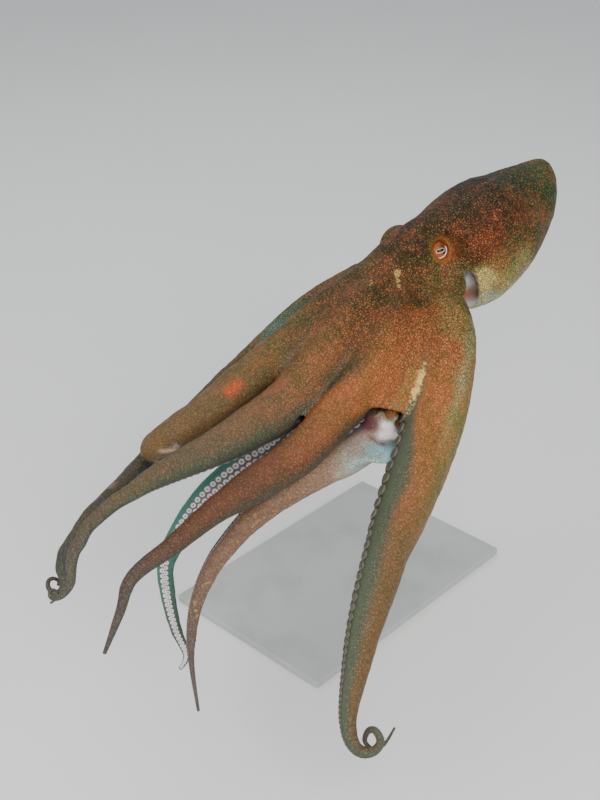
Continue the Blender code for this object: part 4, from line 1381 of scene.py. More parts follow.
@dataclass
class Crown:
    """The solid middle of the arms' roots and the web between the arms.

    reach gives, for each pair of neighbours, how far the web runs down each arm and how deep its
    edge dips between them. level gives the web's level on the arms along their length. All in
    millimetres.
    """

    arms: dict[str, Arm]
    head: Head
    reach: dict[tuple[str, str], Row] = field(default_factory=lambda: {
        ("arm_l1", "arm_l2"): (150, 150, 20), ("arm_l2", "arm_l3"): (145, 150, 8),
        ("arm_l3", "arm_l4"): (192, 222, 12), ("arm_l4", "arm_r4"): (165, 158, 14),
        ("arm_r4", "arm_r3"): (150, 150, 25), ("arm_r3", "arm_r2"): (150, 150, 30),
        ("arm_r2", "arm_r1"): (155, 155, 20), ("arm_r1", "arm_l1"): (165, 165, 15),
    })
    level: Sequence[Row] = ((0.0, 0.85), (50.0, 0.9), (85.0, 0.6), (120.0, 0.1), (200.0, -0.5))
    # The same between the pairs whose web runs nearly flush with the arms' backs.
    flush_level: Sequence[Row] = ((0.0, 0.85), (50.0, 0.9), (110.0, 0.85), (165.0, 0.55))
    flush_pairs: Sequence[tuple[str, str]] = (("arm_l2", "arm_l3"), ("arm_r1", "arm_l1"))
    thickness: float = 6.0 * MM
    web_start: float = 30.0 * MM
    core: tuple[float, float] = (10.0 * MM, 75.0 * MM)
    root_overrun: float = 10.0 * MM
    # The web's curled margin between the left third and fourth arms: x, y, z, radius.
    fold: Sequence[Row] = ((-58, -84, 253, 9), (-50, -95, 250, 9), (-48, -98, 267, 8),
                           (-54, -82, 263, 8), (-33, -98, 256, 8))

    def web_level(self, arc: float, flush: bool = False) -> float:
        """The web's level on the arms at an arc length."""
        arcs, levels = zip(*(self.flush_level if flush else self.level))
        return float(np.interp(arc / MM, arcs, levels))

    def core_rings(self) -> list[Array]:
        """The head's last section, then rings through the arms' crests.

        Returns:
            The rings.
        """
        rings = []
        for arc in np.linspace(*self.core, 10):
            knots = [arm.level_point(arc, self.web_level(arc)) for arm in self.arms.values()]
            count = len(knots)
            ring: list[Array] = []
            for i in range(count):
                ring += curve_points(knots[i - 1], knots[i], knots[(i + 1) % count],
                                     knots[(i + 2) % count], 6)
            rings.append(np.array(ring))
        _, left, up = self.head.axes()
        half_width, half_height = self.head.sections[-1][3:]
        centre = self.head.section_middle(self.head.sections[-1])
        away = rings[0] - centre
        turn = np.arctan2(away @ up / half_height, away @ left / half_width)[:, None]
        start = centre + (left * half_width * np.cos(turn) + up * half_height * np.sin(turn)) * MM
        return [start] + rings

    def web_grid(self, pair: tuple[str, str], reach: Row) -> Array:
        """Points of the web between two arms, from the head to its hollowed edge.

        Args:
            pair: The two arms.
            reach: The web's reach and dip.

        Returns:
            The points, in rows and columns.
        """
        first, second = (self.arms[name] for name in pair)
        flush = pair in self.flush_pairs
        reach_first, reach_second, dip = (value * MM for value in reach)
        columns = []
        for t in np.linspace(0.0, 1.0, 15):
            end = reach_first + (reach_second - reach_first) * t - dip * math.sin(math.pi * t)
            line = []
            for arc in np.linspace(self.web_start, end, 24):
                a = first.level_point(arc, self.web_level(arc, flush))
                b = second.level_point(arc, self.web_level(arc, flush))
                line.append(a + (b - a) * t)
            columns.append(line)
        return np.array(columns)

    def add_to(self, form: Form) -> None:
        """Adds the core, the webs, the arm roots and the curled edge to a rough form."""
        add_loft(form, self.core_rings())
        for pair, reach in self.reach.items():
            add_thick_sheet(form, self.web_grid(pair, reach), self.thickness)
        for arm in self.arms.values():
            arcs = arm.stations(0.0, arm.leaves + self.root_overrun, 0.12, 2.5 * MM)
            add_loft(form, list(arm.rings(arcs, 28)))
        for x, y, z, radius in self.fold:
            add_ball(form, np.array([x, y, z]) * MM, radius * MM)


# ---------------------------------------------------------------- the skin
def relax(points: Array, edges: Array, rounds: int, share: float) -> Array:
    """Evens out a surface by drawing each point toward the mean of its neighbours.

    Args:
        points: Places, one row each.
        edges: Pairs of point numbers.
        rounds: How often to do it.
        share: How far each point goes, from 0 to 1.

    Returns:
        The new places.
    """
    count = np.bincount(edges.ravel(), minlength=len(points))[:, None]
    for _ in range(rounds):
        total = np.stack([np.bincount(edges[:, 0], points[edges[:, 1], k], len(points))
                          + np.bincount(edges[:, 1], points[edges[:, 0], k], len(points))
                          for k in range(3)], axis=1)
        points = points + share * (total / count - points)
    return points


def keep_largest(form: Form) -> None:
    """Drops every shell of a form but the largest.

    Args:
        form: The form.
    """
    left_over = set(form.verts)
    shells = []
    while left_over:
        first = left_over.pop()
        shell, fresh = {first}, [first]
        while fresh:
            for edge in fresh.pop().link_edges:
                for vert in edge.verts:
                    if vert in left_over:
                        left_over.discard(vert)
                        shell.add(vert)
                        fresh.append(vert)
        shells.append(shell)
    shells.sort(key=len)
    for shell in shells[:-1]:
        bmesh.ops.delete(form, geom=list(shell), context="VERTS")


@dataclass
class Skin:
    """The one skin over mantle, head, web and arms, with its relief and its colours."""

    arms: dict[str, Arm]
    head: Head
    mantle: Mantle
    funnel: Funnel
    crown: Crown
    voxel: float = 2.55 * MM
    smoothing: int = 8
    arm_sides: int = 26
    sew_length: float = 9.0 * MM
    lid_inner: float = 9.8 * MM
    lid_outer: float = 17.0 * MM
    lid_tuck: float = 1.2 * MM
    lid_stand: float = 1.9 * MM
    lid_roll: float = 1.6 * MM
    lid_curl: float = 3.4 * MM
    # Lumps of the skin: height in millimetres and how many to a metre. The last only stand out.
    lumps: Sequence[Row] = ((0.42, 120.0), (0.30, 260.0), (0.5, 62.0))

    def fused(self) -> Form:
        """The mantle, head, crown and arm roots fused and smoothed into one closed form.

        Returns:
            The form.
        """
        form = bmesh.new()
        self.mantle.add_to(form, self.head.axes()[2])
        self.head.add_to(form)
        self.crown.add_to(form)
        bmesh.ops.recalc_face_normals(form, faces=form.faces)
        rough = new_object("rough_front", finished_mesh("rough_front", form))
        fuse = rough.modifiers.new("fuse", "REMESH")
        fuse.mode = "VOXEL"
        fuse.voxel_size = self.voxel
        mesh = evaluated_mesh(rough)
        bpy.data.objects.remove(rough)
        form = bmesh.new()
        form.from_mesh(mesh)
        keep_largest(form)
        mesh = finished_mesh("fused_front", form)
        edges = np.empty(len(mesh.edges) * 2, dtype=np.int32)
        mesh.edges.foreach_get("vertices", edges)
        points = read_rows(mesh.vertices, "co")
        points = relax(points, edges.reshape(-1, 2), self.smoothing, 0.5)
        points = self.settle_roots(points)
        mesh.vertices.foreach_set("co", points.ravel())
        form = bmesh.new()
        form.from_mesh(mesh)
        return form

    def owners(self, points: Array) -> Located:
        """Each point's nearest arm by number, and its arc length, turn and reach on that arm."""
        found = [arm.locate(points) for arm in self.arms.values()]
        arcs, turns, reaches = (np.stack([row[k] for row in found]) for k in range(3))
        owner = np.argmin(reaches, axis=0)
        pick = (owner, np.arange(len(points)))
        return owner, arcs[pick], turns[pick], reaches[pick]

    def crests(self, located: Located, points: Array, normals: Array) -> Array:
        """How far each point lies to its arm's outer side: 1 on the crest, -1 at the suckers.

        On the web, which lies off the arms' own sections, the side that faces out counts as crest.

        Args:
            located: Each point's arm, arc length, turn and reach.
            points: Places on the skin.
            normals: Directions out of the skin.

        Returns:
            The crest of each point.
        """
        owner, arcs, turns, reach = located
        crest = np.empty(len(owner))
        for arm, mine in each_arm(self.arms, owner):
            crest[mine] = -np.cos(turns[mine] - arm.sucker_turn(arcs[mine]))
        out = unit(off_line(points, arm.bundle_start, arm.bundle_end))
        return crest + (dot(normals, out) - crest) * smooth_step(1.1, 1.35, reach)

    def settle_roots(self, points: Array) -> Array:
        """Draws the arm roots onto their true sections toward where they are sewn."""
        owner, arcs, turns, _ = self.owners(points)
        for arm, mine in each_arm(self.arms, owner):
            mine = mine & (arcs > arm.leaves - self.sew_length)
            pull = smooth_step(arm.leaves - self.sew_length, arm.leaves - 2.0 * MM, arcs[mine])
            goal = arm.surface(arcs[mine], turns[mine])
            points[mine] += (goal - points[mine]) * pull[:, None]
        return points

    def sew_arm(self, form: Form, arm: Arm, mine: Array) -> None:
        """Cuts an arm's root square, and sews the free arm onto the cut.

        Args:
            form: The fused front.
            arm: The arm to sew on.
            mine: Numbers of the points near the end of this arm's root.
        """
        here = arm.at(np.array([arm.leaves]))
        verts = [form.verts[i] for i in mine]
        inside = set(verts)
        edges = {e for v in verts for e in v.link_edges if e.other_vert(v) in inside}
        faces = {f for v in verts for f in v.link_faces if all(w in inside for w in f.verts)}
        cut = bmesh.ops.bisect_plane(form, geom=verts + list(edges) + list(faces), dist=1e-7,
                                     plane_co=here.place[0], plane_no=here.tangent[0],
                                     clear_outer=True)["geom_cut"]
        rim = [e for e in cut if isinstance(e, bmesh.types.BMEdge) and e.is_boundary]
        arcs = arm.stations(arm.leaves + 1.6 * MM, arm.length - 0.7 * MM, 0.1, 1.2 * MM)
        rings = arm.rings(arcs, self.arm_sides)
        rows = [[form.verts.new(point) for point in ring] for ring in rings]
        count = self.arm_sides
        first = [form.edges.new((rows[0][i], rows[0][(i + 1) % count])) for i in range(count)]
        join_rings(form, rows)
        close_tip(form, rows[-1], arm.line[-1])
        bmesh.ops.bridge_loops(form, edges=rim + first)

    def sewn(self) -> Form:
        """The fused front with the eight free arms sewn on.

        Returns:
            The form.
        """
        form = self.fused()
        form.verts.ensure_lookup_table()
        points = np.array([vert.co for vert in form.verts])
        owner, arcs, _, reach = self.owners(points)
        ends = []
        for arm, mine in each_arm(self.arms, owner):
            near = mine & (arcs > arm.leaves - self.sew_length) & (reach < 1.3)
            ends.append([form.verts[i] for i in np.flatnonzero(near)])
        for arm, verts in zip(self.arms.values(), ends):
            form.verts.index_update()
            form.verts.ensure_lookup_table()
            self.sew_arm(form, arm, np.array([vert.index for vert in verts if vert.is_valid]))
        return form

    def refine(self, form: Form, centre: Array, radius: float) -> None:
        """Splits the faces near a place into finer ones."""
        middle = Vector(centre)
        near = [edge for edge in form.edges
                if ((edge.verts[0].co + edge.verts[1].co) / 2 - middle).length < radius]
        bmesh.ops.subdivide_edges(form, edges=near, cuts=1, use_grid_fill=True)

    def set_lids(self, points: Array) -> Array:
        """Shapes a lid round each eyeball: it dips behind the ball, turns over and rolls out.

        Args:
            points: Places on the skin.

        Returns:
            The new places.
        """
        for sign in (1, -1):
            eye = self.head.eye(sign)
            height, radius = eye.split(points)
            near = (height > -2.0 * MM) & (radius < self.lid_outer) & (height < 30.0 * MM)
            ball = np.sqrt(np.maximum(self.head.eye_radius ** 2 - radius ** 2, 0.0))
            behind = ball - self.lid_tuck
            edge = math.sqrt(self.head.eye_radius ** 2 - self.lid_inner ** 2) + self.lid_stand
            share = np.clip((radius - self.lid_inner) / self.lid_curl, 0.0, 1.0)
            lid = edge + self.lid_roll * np.sin(share * math.pi / 2)
            rise = smooth_step(self.lid_inner - 0.9 * MM, self.lid_inner + 0.3 * MM, radius)
            shaped = behind + (lid - behind) * rise
            blend = smooth_step(self.lid_inner + 2.6 * MM, self.lid_outer, radius)
            goal = shaped + (height - shaped) * blend
            points[near] += ((goal - height)[:, None] * eye.outward)[near]
        return points

    def relief(self, points: Array, normals: Array, calm: Array) -> Array:
        """Raises the skin's lumps and warts a little along its normals.

        Args:
            points: Places on the skin.
            normals: Directions out of the skin.
            calm: Where the skin stays smooth, from 0 to 1.

        Returns:
            The new places.
        """
        (tall, close), (low, fine), (swell, broad) = self.lumps
        lift = np.empty(len(points))
        for i, point in enumerate(points):
            place = Vector(point)
            lift[i] = (tall * noise.noise(place * close) + low * noise.noise(place * fine)
                       + swell * max(noise.noise(place * broad), 0.0))
        return points + normals * (lift * MM * (1.0 - calm))[:, None]


# ---------------------------------------------------------------- colours on the skin
BODY_TINTS = (
    # The first patch, the mantle's dark back, is partly painted shade.
    Patch((169, -14, 413), 26, Tint.MANTLE_DARK), Patch((204, -38, 418), 22, Tint.MANTLE_OLIVE),
    Patch((240, -55, 412), 20, Tint.MANTLE_TIP), Patch((143, -58, 405), 18, Tint.MANTLE_BROWN),
    Patch((131, -74, 387), 17, Tint.MANTLE_RED), Patch((165, -80, 390), 16, Tint.MANTLE_RED, 0.7),
    Patch((149, -87, 373), 14, Tint.MANTLE_GREEN), Patch((185, -88, 374), 20, Tint.MANTLE_GREEN),
    Patch((132, -88, 357), 11, Tint.MANTLE_AMBER), Patch((157, -92, 347), 16, Tint.MANTLE_STRAW),
    Patch((122, -77, 319), 9, Tint.BELLY_BLUE), Patch((117, -82, 339), 9, Tint.BELLY_CREAM),
    Patch((132, -86, 338), 11, Tint.MANTLE_STRAW), Patch((175, -70, 312), 18, Tint.BELLY_BLUE),
    Patch((180, -30, 300), 34, Tint.BELLY_CREAM), Patch((225, -45, 350), 20, Tint.MANTLE_GREEN),
    Patch((150, 30, 345), 40, Tint.MANTLE_GREEN), Patch((130, 0, 400), 20, Tint.MANTLE_BROWN),
    Patch((100, -49, 384), 9, Tint.MANTLE_BROWN), Patch((73, -3, 380), 16, Tint.BROW_BROWN),
    Patch((87, -10, 385), 14, Tint.BROW_BROWN), Patch((77, -59, 337), 14, Tint.CHEEK_OLIVE),
    Patch((72, -83, 336), 12, Tint.CHEEK_OLIVE), Patch((35, -35, 350), 16, Tint.CROWN_BROWN),
    Patch((3, -38, 345), 20, Tint.CROWN_BROWN), Patch((21, -85, 323), 18, Tint.CROWN_RUST),
    Patch((40, -103, 328), 14, Tint.CROWN_OLIVE), Patch((-20, -82, 316), 24, Tint.CROWN_RUST),
    Patch((-35, -27, 345), 22, Tint.CROWN_BROWN), Patch((-26, 0, 343), 22, Tint.CROWN_BROWN),
    Patch((-60, 40, 305), 30, Tint.ARM_OLIVE), Patch((60, 25, 300), 34, Tint.MANTLE_GREEN),
    Patch((60, -20, 280), 20, Tint.ARM_PEARL),
)
MARKS = (
    Streak((42, -116, 316), (-2, -142, 296), 7, Tint.CROWN_EDGE, 0.4),
    Streak((-2, -142, 296), (-75, -178, 262), 6, Tint.CROWN_EDGE, 0.3),
    Streak((-146, 2, 301), (-156, 4, 296), 4.2, Tint.PATCH_RED),
    Patch((-82, -108, 240), 16, Tint.WEB_BLUE), Patch((-94, -102, 234), 13, Tint.WEB_BLUE, 0.7),
    Streak((-80, -112, 238), (-112, -92, 226), 5, Tint.WEB_STRAW, 0.6),
    Patch((-89, -89, 242), 13, Tint.WEB_PINK, 0.7),
    Patch((-62, -84, 257), 9, Tint.FOLD_PURPLE, calm=0.5),
    Streak((-69, -90, 247), (-65, -110, 243), 2.2, Tint.FOLD_PURPLE, 0.6, calm=0.5),
    Streak((-55, -97, 257), (-52, -104, 257), 4.2, Tint.FOLD_WHITE, calm=0.7),
    Streak((-60, -98, 249), (-54, -109, 251), 4.0, Tint.FOLD_WHITE, calm=0.7),
    Streak((-46, -106, 260), (-48, -104, 264), 3.0, Tint.FOLD_WHITE, 0.8, calm=0.7),
    Patch((-55, -97, 261), 2.2, Tint.WEB_PINK, 0.6),
    Streak((-226, 20, 258), (-216, 14, 257), 2.6, Tint.ARM_PINK, 0.7, calm=0.5),
    Streak((-215, 54, 230), (-208, 49, 225), 2.6, Tint.ARM_PINK, 0.6, calm=0.5),
    Patch((-216, 14, 262), 2.4, Tint.FOLD_WHITE, 0.7),
)
# Places on the mantle's back that stay dark, without rust: its own dark tone and painted shade.
SHADED_MANTLE_PLACES = (
    Patch((132, -10, 404), 18, strength=0.9), Patch((160, -12, 413), 26),
    Patch((195, -30, 420), 26), Patch((225, -40, 420), 18, strength=0.7),
)
# Places where single granules turn cream: the streak, the frontal spots and the mantle's rim.
PALE_MARKS = (
    Streak((-9, -103, 305), (-22, -109, 298), 3.2, strength=0.45),
    Streak((-18, -107, 300), (-36, -114, 290), 4.8, strength=0.75),
    Streak((-30, -112, 294), (-50, -119, 277), 4.0, strength=0.65),
    Streak((-50, -119, 277), (-60, -122, 262), 3.0, strength=0.45),
    Patch((42, -26, 356), 3.6), Patch((38, -31, 352), 2.6, strength=0.9),
    Patch((33, -36, 348), 2.8), Patch((9, -20, 355), 4.5, strength=0.5),
    Streak((-100, -75, 228), (-200, -60, 203), 20, strength=0.2),
    Streak((-200, -60, 203), (-275, -70, 155), 13, strength=0.2),
    Streak((112, -80, 350), (122, -74, 314), 7.0, strength=0.5),
    Streak((126, -86, 340), (150, -84, 322), 9.0, strength=0.35),
    Patch((-60, -128, 262), 10, strength=0.22),
)
# The tints inside the mantle's shallow opening: grey-brown painted shadow over most of it, with
# lilac and brown flesh.
LINING = (
    Patch((114, -60, 350), 12, Tint.CAVITY_GREY), Patch((116, -55, 334), 7, Tint.CAVITY_LILAC),
    Patch((130, -57, 329), 12, Tint.CAVITY_GREY), Patch((117, -60, 318), 8, Tint.CAVITY_BROWN),
    Patch((119, -66, 308), 7, Tint.CAVITY_LILAC), Patch((140, -35, 345), 40, Tint.CAVITY_GREY, 0.2),
)


def blended(patches: Sequence[Patch], points: Array) -> Array:
    """The tints of points, blended between the patches about them."""
    weights = np.stack([patch.weight(points) for patch in patches]) + 1e-9
    colours = np.array([patch.tint.rgb for patch in patches])
    return (weights.T @ colours) / weights.sum(axis=0)[:, None]


@dataclass
class Pigment:
    """Lays tints, rust and grain on the points of the skin."""

    arms: dict[str, Arm]
    head: Head
    mantle: Mantle
    usual_edge: tuple[float, float] = (-0.35, -0.75)
    # Shares of an arm's length: where its far tints come in, and its grey tip.
    far_span: tuple[float, float] = (0.15, 0.6)
    tip_span: tuple[float, float] = (0.68, 0.95)
    tip_grey: float = 0.8
    body_span: tuple[float, float] = (40.0 * MM, 130.0 * MM)
    body_rust: float = 0.85
    mark_gain: float = 1.6
    lid_span: tuple[float, float] = (17.0 * MM, 10.0 * MM)
    lid_gold: float = 0.85

    def arm_tints(self, owner: Array, arcs: Array, crest: Array) -> tuple[Array, Array, Array]:
        """Tint, rust and grain of points on the arms.

        Args:
            owner: Each point's arm by number.
            arcs: Its arc length.
            crest: How far it lies to the arm's outer side.

        Returns:
            The colours, and how rusty and how granular the points are.
        """
        colour = np.empty((len(owner), 3))
        rust, grain = np.empty(len(owner)), np.empty(len(owner))
        for arm, mine in each_arm(self.arms, owner):
            far = smooth_step(*self.far_span, arcs[mine] / arm.length)[:, None]
            tints = arm.colours
            top = tints.crest.rgb + (tints.crest_far.rgb - tints.crest.rgb) * far
            flank = tints.flank.rgb + (tints.flank_far.rgb - tints.flank.rgb) * far
            up = smooth_step(0.15, 0.9, crest[mine])[:, None]
            free = smooth_step(arm.leaves - 60.0 * MM, arm.leaves + 15.0 * MM, arcs[mine])
            low, high = (usual + (edge - usual) * free
                         for usual, edge in zip(self.usual_edge, tints.edge))
            down = smooth_step(low, high, crest[mine])[:, None]
            row = flank + (top - flank) * up
            end = smooth_step(*self.tip_span, arcs[mine] / arm.length)[:, None]
            row = row + (Tint.TIP_GREY.rgb - row) * self.tip_grey * end
            colour[mine] = row + (tints.oral.rgb - row) * down
            specked = tints.flank_rust + (tints.rust - tints.flank_rust) * up
            rust[mine] = (specked * (1.0 - down) * (1.0 - 0.85 * far) * (1.0 - end))[:, 0]
            grain[mine] = smooth_step(-0.8, -0.3, crest[mine]) * (0.55 - 0.28 * far[:, 0]) + 0.15
        return colour, rust, grain

    def lay(self, mesh: Mesh, owner: Array, arcs: Array, crest: Array) -> None:
        """Writes the attributes that the skin material reads.

        Args:
            mesh: The skin's mesh.
            owner: Each point's arm by number.
            arcs: Its arc length on that arm.
            crest: How far it lies to the arm's outer side.
        """
        points = read_rows(mesh.vertices, "co")
        colour, rust, grain = self.arm_tints(owner, arcs, crest)
        body = blended(BODY_TINTS, points)
        on_arm = smooth_step(*self.body_span, arcs)[:, None]
        colour = body + (colour - body) * on_arm
        # Less rust on the mantle's back, which is dark partly with painted shade.
        dark = np.max([mark.weight(points) for mark in SHADED_MANTLE_PLACES], axis=0)
        even = self.body_rust * (1.0 - 0.8 * dark)
        rust = even + (rust - even) * on_arm[:, 0]
        grain = 1.0 + (grain - 1.0) * on_arm[:, 0]
        for mark in MARKS:
            share = np.clip(mark.weight(points) * self.mark_gain, 0.0, 1.0)
            colour += (mark.tint.rgb - colour) * share[:, None]
            rust *= 1.0 - share
            grain *= 1.0 - mark.calm * share
        # Inside the mantle's opening: its lining tints, with their grey-brown painted shadow.
        inside = self.mantle.lining(points, self.head.axes()[2])
        colour += (blended(LINING, points) - colour) * inside[:, None]
        pale = np.max([mark.weight(points) for mark in PALE_MARKS], axis=0) * (1.0 - inside)
        rust *= (1.0 - inside) * (1.0 - 0.6 * pale)
        grain *= 1.0 - 0.85 * inside
        for sign in (1, -1):
            height, radius = self.head.eye(sign).split(points)
            ring = smooth_step(*self.lid_span, radius) * (height > 0.0)
            colour += (Tint.LID_GOLD.rgb - colour) * (ring * self.lid_gold)[:, None]
            grain *= 1.0 - 0.6 * ring
        write_colour(mesh, "tint", colour)
        for name, values in (("rust", rust), ("pale", pale), ("grain", grain)):
            write_value(mesh, name, values)


@dataclass
class SkinBuilder:
    """Puts the finished skin together."""

    skin: Skin
    pigment: Pigment
    # How far out from each eye the finer faces start, and how far they reach, coarse ones first.
    fine_middle: float = 10.0 * MM
    fine_reaches: Sequence[float] = (19.0 * MM, 17.0 * MM)

    def build(self, material: Material) -> Thing:
        """Makes the skin's object.

        Args:
            material: The skin material.

        Returns:
            The skin, as one piece.
        """
        form = self.skin.sewn()
        for sign in (1, -1):
            eye = self.skin.head.eye(sign)
            middle = eye.centre + eye.outward * self.fine_middle
            for reach in self.fine_reaches:
                self.skin.refine(form, middle, reach)
        self.skin.funnel.add_to(form)
        bmesh.ops.recalc_face_normals(form, faces=form.faces)
        mesh = finished_mesh("octopus_skin", form)
        points = read_rows(mesh.vertices, "co")
        normals = read_rows(mesh.vertex_normals, "vector")
        located = self.skin.owners(points)
        owner, arcs, _, _ = located
        crest = self.skin.crests(located, points, normals)
        oral = smooth_step(0.0, -0.5, crest) * smooth_step(60.0 * MM, 110.0 * MM, arcs)
        slim = smooth_step(9.0 * MM, 3.0 * MM, self.local_width(located))
        points = self.skin.relief(points, normals, np.maximum(oral, slim))
        points = self.skin.set_lids(points)
        mesh.vertices.foreach_set("co", points.ravel())
        self.pigment.lay(mesh, owner, arcs, crest)
        mesh.shade_smooth()
        LOG.info("skin: %d points, %d faces", len(mesh.vertices), len(mesh.polygons))
        return new_object("octopus_skin", mesh, material)

    def local_width(self, located: Located) -> Array:
        """The width of the arm at each point, or a large width on the body."""
        owner, arcs, _, _ = located
        width = np.full(len(owner), 60.0 * MM)
        for arm, mine in each_arm(self.skin.arms, owner):
            mine = mine & (arcs > 120.0 * MM)
            width[mine] = np.interp(arcs[mine], arm.arcs, arm.widths)
        return width


# ---------------------------------------------------------------- suckers
@dataclass
class Suckers:
    """Two alternating rows of suckers along each arm, placed by a node tree."""

    arms: dict[str, Arm]
    start: float = 84.0 * MM
    pitch: float = 0.54
    least: float = 0.32 * MM
    unevenness: float = 0.08
    seed: int = 7
    sides: int = 11
    # Rings of a cup from its stalk to its pit: radius, height and hollow.
    profile: Sequence[Row] = ((0.60, -0.42, 0.0), (0.90, 0.02, 0.1), (1.00, 0.24, 0.3),
                              (0.86, 0.38, 0.45), (0.50, 0.28, 0.7), (0.20, 0.10, 1.0))
    # How far out a site is looked for on the skin, and how far off it may lie.
    search: float = 5.0 * MM
    stray: float = 2.5 * MM
    shade: tuple[float, float, float] = (0.92, 0.16, 150.0)

    def cup(self) -> Thing:
        """One sucker of radius one: a short stalk, a rolled rim and a pit.

        Returns:
            The sucker.
        """
        form = bmesh.new()
        depth = form.verts.layers.float.new("hollow")
        rows = []
        for radius, height, hollow in self.profile:
            row = []
            for k in range(self.sides):
                angle = 2.0 * math.pi * k / self.sides
                vert = form.verts.new((radius * math.cos(angle), radius * math.sin(angle), height))
                vert[depth] = hollow
                row.append(vert)
            rows.append(row)
        join_rings(form, rows)
        form.faces.new(rows[-1])
        form.faces.new(rows[0][::-1])
        mesh = finished_mesh("sucker_cup", form)
        mesh.shade_smooth()
        return new_object("sucker_cup", mesh)

    def tree(self) -> Tree:
        """A node tree that sets a cup on every point of a mesh, facing out and to its size.

        Returns:
            The tree.
        """
        tree = bpy.data.node_groups.new("sucker_rows", "GeometryNodeTree")
        for label, kind, value in (
                ("Sites", "Geometry", None), ("Cup", "Object", None), ("Size", "Float", 1.0),
                ("Unevenness", "Float", self.unevenness), ("Seed", "Int", self.seed),
                ("Flesh", "Material", None)):
            socket = tree.interface.new_socket(label, in_out="INPUT",
                                               socket_type="NodeSocket" + kind)
            if value is not None:
                socket.default_value = value
        tree.interface.new_socket("Suckers", in_out="OUTPUT", socket_type="NodeSocketGeometry")
        nodes = Nodes(tree)
        start = nodes.add("NodeGroupInput").outputs
        cup = nodes.add("GeometryNodeObjectInfo", {"Object": start["Cup"], "As Instance": True})
        facing = nodes.add("GeometryNodeInputNamedAttribute", data_type="FLOAT_VECTOR")
        radius = nodes.add("GeometryNodeInputNamedAttribute", data_type="FLOAT")
        nodes.put("facing", facing.inputs["Name"])
        nodes.put("cup_radius", radius.inputs["Name"])
        align = nodes.add("FunctionNodeAlignRotationToVector",
                          {"Vector": facing.outputs["Attribute"]}, axis="Z")
        jitter = nodes.add("FunctionNodeRandomValue", {
            2: nodes.math("SUBTRACT", 1.0, start["Unevenness"]),
            3: nodes.math("ADD", 1.0, start["Unevenness"]), "Seed": start["Seed"]},
            data_type="FLOAT")
        size = nodes.times(radius.outputs["Attribute"], start["Size"], jitter.outputs[1])
        place = nodes.add("GeometryNodeInstanceOnPoints", {
            "Points": start["Sites"], "Instance": cup.outputs["Geometry"],
            "Rotation": align.outputs[0], "Scale": size})
        real = nodes.add("GeometryNodeRealizeInstances", {0: place.outputs[0]})
        dress = nodes.add("GeometryNodeSetMaterial",
                          {"Geometry": real.outputs[0], "Material": start["Flesh"]})
        nodes.add("NodeGroupOutput", {0: dress.outputs[0]})
        return tree

    def sites(self, arm: Arm, skin: BVHTree) -> Mesh:
        """Points where one arm's suckers sit, with the way they face, their radius and tint.

        Args:
            arm: The arm.
            skin: The skin's surface.

        Returns:
            The points, as a mesh.
        """
        arcs, turns = [], []
        arc, side = self.start, 1.0
        while arc < arm.length - 1.5 * MM:
            radius = max(float(arm.cup_radii(np.interp(arc, arm.arcs, arm.widths))), self.least)
            arcs.append(arc)
            turns.append(arm.cup_turn * side + float(np.interp(arc, arm.arcs, arm.sucker_turns)))
            side = -side
            arc += self.pitch * 2.0 * radius
        arcs, turns = np.array(arcs), np.array(turns)
        here = arm.at(arcs)
        places = arm.surface(arcs, turns)
        facing = unit(here.oral * (np.cos(turns) / Section.ORAL_HEIGHT)[:, None]
                      + here.side * (np.sin(turns) / Section.HALF_WIDTH)[:, None])
        radii = np.maximum(arm.cup_radii(here.width), self.least)
        keep = np.ones(len(arcs), dtype=bool)
        for i, (place, way) in enumerate(zip(places, facing)):
            hit, _, _, _ = skin.ray_cast(Vector(place + way * self.search), Vector(-way),
                                         2.0 * self.search)
            keep[i] = hit is not None and (np.array(hit) - place) @ way < self.stray
            if keep[i]:
                places[i] = np.array(hit)
        mesh = bpy.data.meshes.new(arm.name + "_sites")
        mesh.vertices.add(int(keep.sum()))
        mesh.vertices.foreach_set("co", places[keep].ravel())
        write_value(mesh, "facing", facing[keep])
        write_value(mesh, "cup_radius", radii[keep])
        usual, spread, scale = self.shade
        shade = np.array([usual + spread * noise.noise(Vector(place * scale))
                          for place in places[keep]])
        write_colour(mesh, "tint", arm.colours.cup.rgb * shade[:, None])
        return mesh

    def build(self, skin: Thing, material: Material) -> list[Thing]:
        """Makes one piece of suckers for each arm.

        Args:
            skin: The finished skin, which the suckers sit on.
            material: The suckers' material.

        Returns:
            The pieces.
        """
        surface = BVHTree.FromObject(skin, bpy.context.evaluated_depsgraph_get())
        cup, tree = self.cup(), self.tree()
        sockets = {item.name: item.identifier for item in tree.interface.items_tree
                   if item.in_out == "INPUT"}
        pieces = []
        for number, arm in enumerate(self.arms.values()):
            bed = new_object(arm.name + "_bed", self.sites(arm, surface))
            rows = bed.modifiers.new("rows", "NODES")
            rows.node_group = tree
            for name, value in (("Cup", cup), ("Size", 1.0), ("Unevenness", self.unevenness),
                                ("Seed", self.seed + number), ("Flesh", material)):
                rows[sockets[name]] = value
            mesh = evaluated_mesh(bed)
            bpy.data.objects.remove(bed)
            pieces.append(new_object(arm.name.replace("arm", "suckers"), mesh, material))
            LOG.info("%s: %d faces", pieces[-1].name, len(mesh.polygons))
        bpy.data.objects.remove(cup)
        return pieces


